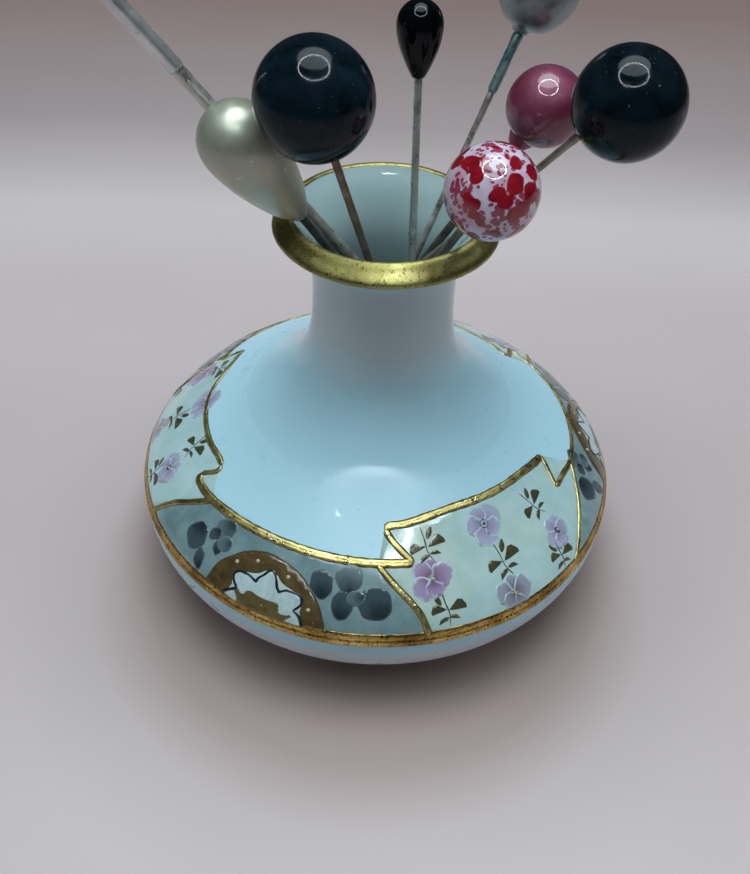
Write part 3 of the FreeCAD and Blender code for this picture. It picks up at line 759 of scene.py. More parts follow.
# ground colours of the panels
cream, blue = Batch(), Batch()
LOW = BAND_TOP - 0.4
for d in (0.0, 120.0):
    poly = shifted(RIGHT_TIP[:-1] + RIGHT_TOP + RIGHT_V[1:] + RIGHT_MAIN[1:3] + DIVIDER_NEXT[1:4], d)
    poly += [(55.0 + d, LOW), (13.0 + d, LOW)] + shifted(DIVIDER_R[::-1][1:], d)
    patch(cream, poly, 0.035, step=1.1, edge=0.5)
poly = LEFT_TIP[:-1] + LEFT_TOP + LEFT_V[1:] + MAIN[1:4] + DIVIDER_L[:3] + [(-64.8, LOW), (-107.3, LOW)] + LEFT_EDGE[::-1][1:]
patch(cream, poly, 0.035, step=1.1, edge=0.5)
patch(blue, MAIN[3:9] + DIVIDER_R[:-1] + [(12.8, LOW), (-64.9, LOW)] + DIVIDER_L[:3][::-1], 0.035, step=1.1, edge=0.5)
for d in (0.0, 120.0):
    poly = shifted(RIGHT_MAIN[2:7], d) + shifted(DIVIDER_R[:-1], 120.0 + d) + [(132.8 + d, LOW), (54.6 + d, LOW)] + shifted(DIVIDER_NEXT[1:4][::-1], d)
    patch(blue, poly, 0.035, step=1.1, edge=0.5)
cream.build("panel_ground_cream", CREAM_GROUND)
blue.build("panel_ground_blue", BLUE_GROUND)

# medallion in the middle of each blue panel
ARC = [(-39.8, 2.8), (-39.1, 3.9), (-38.3, 6.2), (-36.1, 8.1), (-32.4, 10.0), (-27.7, 11.0), (-22.4, 10.9), (-17.3, 9.8), (-13.7, 8.0),
       (-11.3, 6.05), (-9.8, 3.85), (-9.5, 2.8)]
FLOWER = [(-34.0, 2.7), (-33.6, 3.5), (-31.1, 4.6), (-32.6, 5.5), (-33.1, 6.35), (-31.9, 7.0), (-29.6, 7.1), (-27.3, 6.7), (-27.0, 7.4), (-26.1, 8.0),
          (-25.1, 8.9), (-23.9, 8.9), (-22.9, 8.2), (-22.1, 7.2), (-21.2, 6.6), (-19.9, 7.1), (-18.5, 7.2), (-16.9, 7.1), (-15.8, 6.8),
          (-15.5, 5.9), (-16.9, 4.8), (-15.8, 4.4), (-15.0, 3.8), (-14.4, 2.7)]
STAR = [(-30.1, 2.7), (-29.5, 2.95), (-31.6, 4.3), (-28.9, 3.25), (-28.3, 3.3), (-27.8, 5.2), (-26.7, 3.5), (-25.1, 3.4), (-24.3, 4.9), (-23.4, 3.4),
        (-22.2, 3.45), (-20.8, 5.1), (-20.9, 3.3), (-19.9, 3.1), (-17.0, 3.9), (-19.2, 2.9), (-18.8, 2.7)]
DOTS = [(-33.9, 7.95), (-29.0, 9.4), (-20.2, 9.0), (-13.6, 5.4)]
ground, white, black, star, studs, line_b = Batch(), Batch(), Batch(), Batch(), Batch(), Batch()
for d in (0.0, 120.0, 240.0):
    patch(ground, shifted([tuple(p) for p in smooth_path(ARC, 1.2)], d), 0.06, step=0.8, edge=0.4)
    patch(white, shifted(FLOWER, d), 0.085, step=0.5, edge=0.25, crown=0.03, crown_width=0.8)
    patch(star, shifted(STAR, d), 0.13, step=0.25, edge=0.13)
    notches = (2, 7, 14, 20)
    ribbon(black, shifted(FLOWER, d), 0.44, 0.05, base=0.08, step=0.15, across=5, corners=notches, vary=0.5, taper=0.0, seed=3.0 + d)
    ribbon(line_b, shifted(ARC, d), 0.22, 0.05, base=0.05, step=0.25, across=5, vary=0.3, taper=0.0, seed=4.0 + d)
    for q in DOTS:
        dome(studs, (q[0] + d, q[1]), 0.30, 0.20, base=0.06)
    for q in ((-26.5, 7.4), (-24.2, 4.0), (-19.0, 6.2), (-31.3, 6.3)):
        dome(studs, (q[0] + d, q[1]), 0.10, 0.10, base=0.09)
ground.build("medallion_ground", BROWN_GROUND)
white.build("medallion_flower", WHITE_ENAMEL)
star.build("medallion_star", STAR_ENAMEL)
black.build("medallion_outline", BLACK_ENAMEL)
line_b.build("medallion_edge_line", OLIVE_ENAMEL)

# grey-blue leaves either side of each medallion: (theta, s, length, width, angle, tone)
LEAVES = [(-47.8, 7.3, 4.0, 3.5, 100, 0), (-41.6, 10.6, 3.6, 3.0, 60, 1), (-43.3, 9.3, 2.1, 1.7, 60, 0), (-39.2, 9.0, 2.4, 2.0, 30, 1),
          (-40.6, 7.9, 2.0, 1.6, -80, 0), (-43.6, 4.9, 3.0, 1.8, -65, 0),
          (-12.0, 9.3, 3.7, 3.1, -75, 0), (-5.3, 10.5, 3.6, 3.6, -85, 1), (-5.1, 9.2, 1.9, 1.5, -80, 0), (-6.4, 6.9, 3.8, 2.9, -95, 0),
          (1.2, 7.4, 4.4, 4.4, -60, 0), (-3.3, 8.1, 2.4, 2.0, 20, 1)]
dark_leaf, light_leaf, vein = Batch(), Batch(), Batch()
for d in (0.0, 120.0, 240.0):
    for i, (th, s, ln, wd, ang, tone) in enumerate(LEAVES):
        a = math.radians(ang)
        tip = local((th, s), math.cos(a) * ln * 0.42, math.sin(a) * ln * 0.42)
        patch(light_leaf if tone else dark_leaf, shifted(blob((th, s), ln * 1.12, wd * 1.10, ang, 0.22, 40, 0.08, i * 1.3), d), 0.05 + 0.012 * (i % 4), step=0.35,
              edge=0.28, heart=(tip[0] + d, tip[1]), heart_radius=ln * 0.85, fade_width=0.32)
dark_leaf.build("leaves_dark", LEAF_BLUE)
light_leaf.build("leaves_light", LEAF_LIGHT)

# flowers and sprigs of the cream panels
pink, lilac, grey, eyes, eye_dark, olive, stems, seeds = (Batch() for _ in range(8))


def flower(centre, radius, batch, petals, turn, seed, eye="dark"):
    for k in range(petals):
        a = turn + 360.0 * k / petals + 7 * math.sin(seed + 3 * k)
        ln = radius * (0.98 + 0.12 * math.sin(seed * 2 + k * 2.1))
        mid = local(centre, math.cos(math.radians(a)) * ln * 0.55, math.sin(math.radians(a)) * ln * 0.55)
        patch(batch, blob(mid, ln * 1.04, ln * 1.16, a + 180, 0.30, 24, 0.16, seed + k), 0.05 + 0.008 * k, step=0.38, edge=0.26,
              heart=centre, heart_radius=radius * 1.05, fade_width=0.44)
    if eye == "ring":
        dome(eye_dark, centre, 0.24, 0.09, base=0.10)
        ring(eyes, centre, 0.42, 0.17, 0.06, 0.09)
        ring(eye_dark, centre, 0.60, 0.09, 0.02, 0.09)
    elif eye == "pearl":
        patch(eye_dark, blob(centre, 1.1, 0.8, -70, 0.2, 16, 0.1, seed), 0.10, step=0.3, edge=0.2)
        dome(eyes, local(centre, 0.12, 0.05), 0.22, 0.16, base=0.11)
    else:
        for k in range(7):
            a = k * 0.9 + seed
            dome(eye_dark if k % 2 else seeds, local(centre, 0.36 * math.cos(a), 0.28 * math.sin(a)), 0.11, 0.06, base=0.10, seg=8, rings=3)
        dome(seeds, centre, 0.15, 0.08, base=0.10, seg=8, rings=3)


def sprig(centre, size, lean, seed, flip=1, up=True):
    """Stem with fan-shaped leaves in pairs, drawn in thin dark enamel."""
    a = math.radians(lean)
    ux, uy = math.sin(a), math.cos(a)

    def at(x, y):
        return local(centre, (x * uy + y * ux) * size, (-x * ux + y * uy) * size)
    sgn = 1 if up else -1
    ribbon(stems, [at(0.10 * flip, 1.05 * sgn), at(0.05 * flip, 0.4 * sgn), at(-0.05 * flip, -0.2 * sgn), at(0.06 * flip, -0.8 * sgn)], 0.17, 0.04, base=0.04,
           step=0.25, across=5, vary=0.5, taper=0.7, seed=seed)
    fan = [(-0.05, -0.05), (-0.35, 0.12), (-0.62, 0.38), (-0.86, 0.30), (-1.02, -0.02), (-0.98, -0.20), (-0.66, -0.06), (-0.35, -0.12)]
    for side, sc, dy in ((-1, 1.0, 0.05), (1, 0.86, 0.10)):
        patch(olive, [at(-side * x * sc * -1 * 1.0, (y * sc + dy) * sgn) for x, y in fan], 0.06, step=0.35, edge=0.2, crown=0.03, crown_width=0.3)
    small = [(0.0, -0.35), (-0.22, -0.28), (-0.46, -0.36), (-0.60, -0.62), (-0.36, -0.55), (-0.12, -0.48)]
    for side, sc in ((-1, 1.0), (1, 0.9)):
        patch(olive, [at(side * x * sc, (y * sc) * sgn) for x, y in [(-p[0], p[1]) for p in small]], 0.06, step=0.3, edge=0.2, crown=0.03, crown_width=0.25)
    patch(olive, blob(at(0.42 * flip, 0.62 * sgn), 0.66 * size, 0.28 * size, 62 if flip > 0 else 118, 0.5, 14, 0.05, seed), 0.06, step=0.3, edge=0.18)


for d in (0.0, -125.0, 120.0):
    j = d * 0.013
    sprig((15.4 + d, 14.7), 2.85, -14, 1.0 + j)
    flower((15.2 + d, 10.5), 2.95, pink, 5, 78, 2.0 + j)
    sprig((17.6 + d, 5.7), 2.75, -4, 3.0 + j, flip=-1)
    flower((34.3 + d, 15.5), 2.85, lilac, 5, 35, 4.0 + j, "ring")
    sprig((34.6 + d, 9.5), 3.1, -12, 5.0 + j)
    flower((34.2 + d, 5.0), 2.6, grey, 5, 90, 6.0 + j)
    sprig((52.3 + d, 13.5), 2.75, -22, 7.0 + j)
    flower((53.4 + d, 8.4), 2.5, lilac, 5, 60, 8.0 + j, "pearl")
    sprig((50.4 + d, 5.2), 2.6, 8, 9.0 + j, flip=-1)
pink.build("flowers_pink", PETAL_PINK)
lilac.build("flowers_lilac", PETAL_LILAC)
grey.build("flowers_grey", PETAL_GREY)
eyes.build("flower_eyes_white", WHITE_ENAMEL)
eye_dark.build("flower_eyes_dark", OLIVE_ENAMEL)
seeds.build("flower_seeds", YELLOW_ENAMEL)
olive.build("sprig_leaves", OLIVE_ENAMEL)
stems.build("sprig_stems", OLIVE_ENAMEL)

# raised gilt lines over thin dark outlines
gold, under = Batch(), Batch()


def gilt_line(points, width, seed, height=0.16, corners=(), groove=0.0, taper=0.5):
    ribbon(under, points, width + 0.22, 0.03, base=0.035, step=0.35, across=5, vary=0.15, taper=taper, seed=seed + 9, corners=corners)
    ribbon(gold, points, width, height, base=0.02, step=0.17, across=9, rough=0.055, vary=0.14, taper=taper, seed=seed, groove=groove, corners=corners)


gilt_line(MAIN, 1.12, 1.0, groove=0.28)
gilt_line(shifted(RIGHT_MAIN, 0.0), 0.72, 2.0, groove=0.2)
gilt_line(BACK_MAIN, 0.85, 3.0, groove=0.25)
for k, d in enumerate((0.0, 120.0)):
    gilt_line(shifted(RIGHT_TOP, d), 1.02, 4.0 + k, groove=0.28)
    gilt_line(shifted(RIGHT_TIP, d), 0.82, 6.0 + k)
    gilt_line(shifted(RIGHT_V, d), 0.66, 8.0 + k)
    gilt_line(shifted(DIVIDER_R, d), 0.80, 10.0 + k, taper=0.3)
    gilt_line(shifted(DIVIDER_NEXT, d), 0.62, 12.0 + k, taper=0.3)
gilt_line(LEFT_TOP, 0.80, 14.0, groove=0.2)
gilt_line(LEFT_V, 0.66, 15.0)
gilt_line(LEFT_TIP, 0.66, 16.0)
gilt_line(DIVIDER_L, 0.74, 17.0, taper=0.3)
gilt_line(LEFT_EDGE, 0.62, 18.0, taper=0.3)
gold.build("gilt_panel_lines", GILT_LINE)
under.build("gilt_line_edges", OLIVE_ENAMEL)
studs.build("medallion_studs", STUD_ENAMEL)


def gilt_band():
    """The band round the widest part: a smooth strip above, a beaded row and a rough lower edge."""
    n, low, high = 1500, 1.05, BAND_TOP
    rows = 17
    th = np.linspace(0, 360, n, endpoint=False)
    beads = 372
    verts = []
    wav = 0.07 * np.sin(np.radians(th * 7)) + 0.05 * np.sin(np.radians(th * 17 + 40))
    for i in range(rows):
        t = i / (rows - 1)
        s = low + (high - low) * t + wav * (1 - 0.7 * t)
        h = 0.10 * min(1.0, 6 * t, 6 * (1 - t)) ** 0.5 * np.ones(n)
        u = (s - wav * 0.5 - (low + 0.36 * (high - low))) / 0.27
        bead = np.sqrt(np.clip(1 - u ** 2, 0, 1)) * np.abs(np.cos(np.radians(th) * beads / 2)) ** 0.7
        h = h + 0.14 * bead
        u2 = (s - wav * 0.5 - (low + 0.13 * (high - low))) / 0.22
        h = h + 0.07 * np.clip(1 - u2 ** 2, 0, 1)
        h = h + np.array([0.03 * noise.noise(Vector((math.cos(math.radians(a)) * 60, math.sin(math.radians(a)) * 60, t * 6))) for a in th]) * (0 < i < rows - 1)
        verts.append(surf_many(th, s * np.ones(n), h))
    verts.append(surf_many(th, high + wav * 0.3, np.full(n, -0.08)))
    verts.append(surf_many(th, low + wav, np.full(n, -0.08)))
    k = len(verts)
    flat = np.stack(verts, 1).reshape(-1, 3)
    faces = []
    for i in range(n):
        i2 = (i + 1) % n
        for j in range(k):
            j2 = (j + 1) % k
            faces.append((i * k + j, i * k + j2, i2 * k + j2, i2 * k + j))
    return add_object("gilt_band", flat, faces, GILT_BAND, "holder")


gilt_band()

# ------------------------------------------------------------------- pins
SHANK_BRIGHT = make_metal("shank_bright", [(0.30, (0.30, 0.31, 0.30)), (0.55, (0.52, 0.54, 0.52)), (0.8, (0.66, 0.68, 0.66))], 420.0, (0.18, 0.42), 0.45)
SHANK_GREEN = make_metal("shank_silver_green", [(0.30, (0.24, 0.27, 0.23)), (0.55, (0.42, 0.46, 0.42)), (0.8, (0.60, 0.63, 0.58))], 380.0, (0.22, 0.45), 0.5)
SHANK_BROWN = make_metal("shank_brown", [(0.30, (0.09, 0.066, 0.040)), (0.55, (0.18, 0.138, 0.088)), (0.8, (0.32, 0.27, 0.19))], 420.0, (0.28, 0.5), 0.5)
SHANK_DARK = make_metal("shank_dark", [(0.30, (0.05, 0.045, 0.04)), (0.6, (0.12, 0.11, 0.10)), (0.85, (0.28, 0.26, 0.23))], 420.0, (0.28, 0.5), 0.4)
SHANK_GREY = make_metal("shank_grey", [(0.30, (0.14, 0.12, 0.10)), (0.55, (0.30, 0.27, 0.23)), (0.8, (0.46, 0.43, 0.38))], 420.0, (0.25, 0.5), 0.5)
SHANK_WORN = make_metal("shank_worn", [(0.30, (0.22, 0.20, 0.18)), (0.5, (0.42, 0.40, 0.37)), (0.75, (0.70, 0.69, 0.67))], 300.0, (0.2, 0.5), 0.6)
SLEEVE_SILVER = make_metal("sleeve_silver", [(0.30, (0.46, 0.46, 0.45)), (0.6, (0.66, 0.67, 0.66)), (0.85, (0.78, 0.79, 0.79))], 260.0, (0.14, 0.32), 0.3)
SLEEVE_BLUE = make_metal("sleeve_iridescent", [(0.28, (0.10, 0.20, 0.22)), (0.5, (0.18, 0.34, 0.35)), (0.7, (0.34, 0.44, 0.38)), (0.88, (0.42, 0.36, 0.26))], 330.0,
                         (0.22, 0.45), 0.35)
SATIN_GREY = make_metal("satin_grey", [(0.28, (0.18, 0.205, 0.21)), (0.55, (0.26, 0.29, 0.30)), (0.82, (0.36, 0.39, 0.41))], 170.0, (0.30, 0.46), 0.3)
# the pearl drop's lower cream tone is a painted reflection of the floor
PEARL_DROP = make_pearl("pearl_drop_coat", [(0.28, (0.24, 0.262, 0.205)), (0.46, (0.33, 0.345, 0.275)), (0.62, (0.41, 0.405, 0.315)), (0.8, (0.52, 0.44, 0.29))],
                        0.33, 0.45, 0.22, (0.80, 0.82, 0.76), 120.0, painted_floor_reflection=(0.077, 0.065, (0.60, 0.555, 0.43)))
MAGENTA = make_pearl("magenta_pearl", [(0.30, (0.13, 0.006, 0.024)), (0.55, (0.165, 0.019, 0.062)), (0.8, (0.21, 0.040, 0.105))], 0.50, 0.20, 1.0, None, 110.0, 0.012)
COLLAR = make_pearl("magenta_collar", [(0.30, (0.20, 0.025, 0.07)), (0.7, (0.36, 0.06, 0.14))], 0.34, 0.4, 0.2, None, 500.0)
NAVY = make_glass_ball("navy_glass", (0.0010, 0.0030, 0.0048), (0.0060, 0.0170, 0.0260), (0.16, 0.20, 0.22), 0.30)
BLACK = make_glass_ball("black_glass", (0.0010, 0.0026, 0.0040), (0.0050, 0.0140, 0.0200), (0.20, 0.21, 0.21), 0.45)
JET = make_glass_ball("jet_glass", (0.0008, 0.0014, 0.0022), (0.0020, 0.0042, 0.0065), (0.14, 0.14, 0.14), 0.2, 0.05)
SPECKLED = make_speckled()

PINS = {
    "long_pin": {"tip": (29.14314, 8.89941, 7.37138), "u": (-0.58608, -0.14030, 0.79801), "ball": (108.552, 4.000), "sleeve": (92.681, 11.892)},
    "pearl_drop": {"tip": (21.12398, 16.34932, 5.15063), "u": (-0.46353, -0.30165, 0.83315), "drop": (69.621, 19.214, 4.799)},
    "navy_ball": {"tip": (13.00276, 4.38756, 3.67013), "u": (-0.25802, -0.20650, 0.94381), "ball": (83.094, 6.824)},
    "black_drop": {"tip": (4.97666, -9.37222, 3.67013), "u": (-0.02423, 0.13123, 0.99106), "drop": (76.603, 8.836, 2.820)},
    "silver_drop": {"tip": (-15.79937, -12.27119, 3.67013), "u": (0.36368, 0.26995, 0.89155), "drop": (87.289, 10.576, 5.152), "sleeve": (79.496, 7.743)},
    "magenta_ball": {"tip": (-26.70660, -6.76303, 5.52075), "u": (0.54973, 0.12675, 0.82567), "ball": (84.287, 5.131)},
    "speckled_ball": {"tip": (-8.15715, 28.60236, 6.63113), "u": (0.24496, -0.52968, 0.81205), "ball": (81.823, 5.588)},
    "black_ball": {"tip": (-31.60144, 7.65598, 8.85189), "u": (0.61748, -0.15733, 0.77069), "ball": (94.121, 6.556), "offset": (0.49840, -0.43509, -0.48814)},
}
PEARL_OUTLINE = [(0.208, 0.000), (0.477, 0.125), (0.663, 0.250), (0.808, 0.375), (0.914, 0.500), (0.978, 0.625), (1.000, 0.750), (0.927, 0.844), (0.743, 0.917), (0.500, 0.967), (0.242, 0.993), (0.000, 1.000)]
DROP_OUTLINE = [(0.284, 0.000), (0.482, 0.113), (0.654, 0.227), (0.799, 0.340), (0.909, 0.454), (0.977, 0.567), (1.000, 0.681), (0.927, 0.800), (0.743, 0.894), (0.500, 0.957), (0.242, 0.991), (0.000, 1.000)]
SILVER_OUTLINE = [(0.190, 0.000), (0.215, 0.030), (0.430, 0.075), (0.660, 0.150), (0.830, 0.250), (0.950, 0.370), (1.000, 0.525), (0.950, 0.680), (0.780, 0.830), (0.520, 0.940), (0.260, 0.987), (0.000, 1.000)]


def pin_frame(pin):
    u = Vector(pin["u"]).normalized()
    side = Vector((0, 0, 1)).cross(u).normalized()
    return Vector(pin["tip"]), u, side, u.cross(side)


def turned(name, pin, profile, material, replaces, segs=48, lumps=0.0, lump_scale=1.0, seed=0.0, chips=0, chip_size=0.5, body=None, squash=None,
           chip_zone=(-1.0, 1.0)):
    """A shape turned about the pin's axis from (distance from the tip, radius) points, closed at both ends."""
    tip, u, a, b = pin_frame(pin)
    verts, rows = [], []
    for t, r in profile:
        if r < 1e-6:
            rows.append([len(verts)])
            verts.append(tip + u * t)
            continue
        row = []
        for k in range(segs):
            w = 2 * math.pi * k / segs
            d = a * math.cos(w) + b * math.sin(w)
            rr = r
            if lumps:
                q = (tip + u * t + d * r) * lump_scale
                rr = r * (1 + lumps * noise.noise(q + Vector((seed, seed, seed))))
            row.append(len(verts))
            verts.append(tip + u * t + d * rr)
        rows.append(row)
    if chips:
        lo, hi = profile[0][0], profile[-1][0]
        rmax = max(r for _, r in profile)
        gen = random.Random(int(seed * 10) + 5)
        centre_t = 0.5 * (lo + hi)
        for _ in range(chips):
            ax = gen.uniform(*chip_zone)
            ang = gen.uniform(0, 2 * math.pi)
            d = (a * math.cos(ang) + b * math.sin(ang)) * math.sqrt(max(0.0, 1 - ax * ax)) + u * ax
            c = tip + u * centre_t + d * rmax
            size = chip_size * gen.uniform(0.5, 1.2)
            axis_pt = tip + u * centre_t
            for i, v in enumerate(verts):
                dist = (v - c).length
                if dist < size:
                    q = (1 - (dist / size) ** 2)
                    verts[i] = v + (axis_pt - v).normalized() * size * 0.16 * q
    faces = []
    for i in range(len(rows) - 1):
        p, q = rows[i], rows[i + 1]
        for k in range(segs):
            k2 = (k + 1) % segs
            if len(p) == 1 and len(q) == 1:
                continue
            if len(p) == 1:
                faces.append((p[0], q[k2], q[k]))
            elif len(q) == 1:
                faces.append((p[k], p[k2], q[0]))
            else:
                faces.append((p[k], p[k2], q[k2], q[k]))
    if len(rows[0]) > 1:
        faces.append(tuple(rows[0]))
    if len(rows[-1]) > 1:
        faces.append(tuple(reversed(rows[-1])))
    return add_object(name, [v * MM for v in verts], faces, material, body, replaces)


def ball_profile(centre, radius, n=72):
    return [(centre - radius * math.cos(math.pi * i / n), radius * math.sin(math.pi * i / n) if 0 < i < n else 0.0) for i in range(n + 1)]


def outline_profile(start, length, radius, outline):
    pts = natural_spline([(start + f * length, r * radius) for r, f in outline], 0.22)
    pts[:, 1] = np.maximum(pts[:, 1], 0.0)
    pts[-1] = (start + length, 0.0)
    return [(start, 0.0)] + [tuple(p) for p in pts]


def shank_profile(end, radius, bumps=(), seed=0.0):
    out = [(0.0, 0.0), (0.05, 0.12)]
    t = 0.6
    while t < end:
        full = radius if t > 9 else 0.12 + (radius - 0.12) * (t / 9.0) ** 0.85
        wear = 1 + 0.035 * noise.noise(Vector((t * 0.7, seed, 0.0))) + 0.02 * noise.noise(Vector((t * 2.3, seed, 4.0)))
        for c, amp, wd in bumps:
            wear += amp * math.exp(-((t - c) / wd) ** 2)
        out.append((t, full * wear))
        t += 0.45
    out.append((end, radius))
    out.append((end, 0.0))
    return out


def part(pin, tail):
    return f"{pin}_{tail}"


def shank(key, material, end, radius, bumps=(), seed=1.0):
    turned(part(key, "wire"), PINS[key], shank_profile(end, radius, bumps, seed), material, [part(key, "shank")], segs=20, lumps=0.05,
           lump_scale=0.9, seed=seed, body=BODY[key])


BODY = {"long_pin": "long_pin", "pearl_drop": "pearl_drop_pin", "navy_ball": "navy_ball_pin", "black_drop": "black_drop_pin", "silver_drop": "silver_drop_pin",
        "magenta_ball": "magenta_ball_pin", "speckled_ball": "speckled_ball_pin", "black_ball": "black_ball_pin"}

# long pin: worn wire, bright sleeve, small knob above the view
shank("long_pin", SHANK_WORN, 108.0, 0.85, [(91.5, 0.10, 0.8), (84.0, 0.05, 0.5)], 1.0)
sl = PINS["long_pin"]["sleeve"]
turned("long_pin_bright_sleeve", PINS["long_pin"], [(sl[0], 0.87), (sl[0], 1.02), (sl[0] + 0.35, 1.12), (sl[0] + 0.8, 1.05)]
       + [(sl[0] + 1.2 + i * 0.6, 1.05) for i in range(int((sl[1] - 2.6) / 0.6))]
       + [(sl[0] + sl[1] - 0.9, 1.05), (sl[0] + sl[1] - 0.45, 1.13), (sl[0] + sl[1], 1.0), (sl[0] + sl[1], 0.87)], SLEEVE_SILVER, ["long_pin_sleeve"], 28,
       0.02, 0.8, 2.0, body=BODY["long_pin"])
turned("long_pin_knob_glass", PINS["long_pin"], ball_profile(*PINS["long_pin"]["ball"], 48), JET, ["long_pin_knob"], 56, 0.004, 0.4, 3.0, chips=10, chip_size=0.3,
       body=BODY["long_pin"])

# pearl-coated drop
shank("pearl_drop", SHANK_DARK, 70.4, 0.55, [(69.0, 0.10, 0.6)], 2.0)
turned("pearl_drop_bead", PINS["pearl_drop"], outline_profile(*PINS["pearl_drop"]["drop"], PEARL_OUTLINE), PEARL_DROP, ["pearl_drop_head"], 72, 0.035, 0.16, 4.0,
       chips=26, chip_size=0.42, body=BODY["pearl_drop"], chip_zone=(-0.2, 1.0))

# navy ball with a chipped mouth round its wire
shank("navy_ball", SHANK_BROWN, 77.2, 0.5, [(75.6, 0.12, 0.7), (66.0, 0.05, 1.0)], 3.0)
turned("navy_ball_glass", PINS["navy_ball"], ball_profile(*PINS["navy_ball"]["ball"]), NAVY, ["navy_ball_head"], 96, 0.006, 0.22, 5.0, chips=34, chip_size=0.42,
       body=BODY["navy_ball"], chip_zone=(-1.0, 0.6))

# jet drop
shank("black_drop", SHANK_GREEN, 77.4, 0.5, [(56.5, 0.22, 0.45), (57.8, 0.12, 0.5), (75.8, 0.10, 0.6), (44.0, 0.06, 0.6)], 4.0)
turned("black_drop_glass", PINS["black_drop"], outline_profile(*PINS["black_drop"]["drop"], DROP_OUTLINE), JET, ["black_drop_head"], 64, 0.008, 0.4, 6.0, chips=8,
       chip_size=0.25, body=BODY["black_drop"])

# silver drop: satin head, oxidised sleeve
shank("silver_drop", SHANK_WORN, 88.2, 0.45, [(78.6, 0.16, 0.5), (70.0, 0.06, 0.7), (61.0, 0.06, 0.6)], 5.0)
sl = PINS["silver_drop"]["sleeve"]
turned("silver_drop_oxidised_sleeve", PINS["silver_drop"], [(sl[0], 0.47), (sl[0], 0.58), (sl[0] + 0.4, 0.70)]
       + [(sl[0] + 0.8 + i * 0.5, 0.68) for i in range(int((sl[1] - 1.4) / 0.5))] + [(sl[0] + sl[1] - 0.3, 0.72), (sl[0] + sl[1], 0.66), (sl[0] + sl[1], 0.47)],
       SLEEVE_BLUE, ["silver_drop_sleeve"], 28, 0.06, 0.8, 6.0, body=BODY["silver_drop"])
turned("silver_drop_bead", PINS["silver_drop"], outline_profile(*PINS["silver_drop"]["drop"], SILVER_OUTLINE), SATIN_GREY, ["silver_drop_head"], 72, 0.012, 0.25, 7.0,
       chips=14, chip_size=0.3, body=BODY["silver_drop"])

# magenta pearl ball on a cup collar
shank("magenta_ball", SHANK_DARK, 79.6, 0.58, (), 6.0)
turned("magenta_ball_pearl", PINS["magenta_ball"], ball_profile(*PINS["magenta_ball"]["ball"]), MAGENTA, ["magenta_ball_head"], 80, 0.006, 0.3, 8.0, chips=10,
       chip_size=0.26, body=BODY["magenta_ball"])
c0 = PINS["magenta_ball"]["ball"][0] - math.sqrt(PINS["magenta_ball"]["ball"][1] ** 2 - 1.9 ** 2)
turned("magenta_ball_cup", PINS["magenta_ball"], [(c0 - 1.35, 0.6), (c0 - 1.4, 0.95), (c0 - 1.15, 1.25), (c0 - 0.6, 1.55), (c0 - 0.1, 1.86), (c0 + 0.16, 1.93),
       (c0 + 0.22, 1.80), (c0 + 0.05, 1.66), (c0 - 0.12, 1.2), (c0 - 0.2, 0.6)], COLLAR, ["magenta_ball_collar"], 36, 0.012, 1.0, 9.0,
       body=BODY["magenta_ball"])

# speckled ball; black ball, drilled a little off its centre
OFF_CENTRE = {"tip": tuple(a + b for a, b in zip(PINS["black_ball"]["tip"], PINS["black_ball"]["offset"])), "u": PINS["black_ball"]["u"]}
shank("speckled_ball", SHANK_GREY, 76.8, 0.55, [(75.6, 0.10, 0.6)], 7.0)
turned("speckled_ball_glass", PINS["speckled_ball"], ball_profile(*PINS["speckled_ball"]["ball"]), SPECKLED, ["speckled_ball_head"], 88, 0.007, 0.35, 10.0, chips=8,
       chip_size=0.26, body=BODY["speckled_ball"])
shank("black_ball", SHANK_GREY, 88.4, 0.46, [(86.8, 0.20, 0.8), (74.0, 0.06, 0.7)], 8.0)
turned("black_ball_glass", OFF_CENTRE, ball_profile(*PINS["black_ball"]["ball"]), BLACK, ["black_ball_head"], 96, 0.005, 0.25, 11.0, chips=22, chip_size=0.34,
       body=BODY["black_ball"], chip_zone=(-1.0, 0.7))

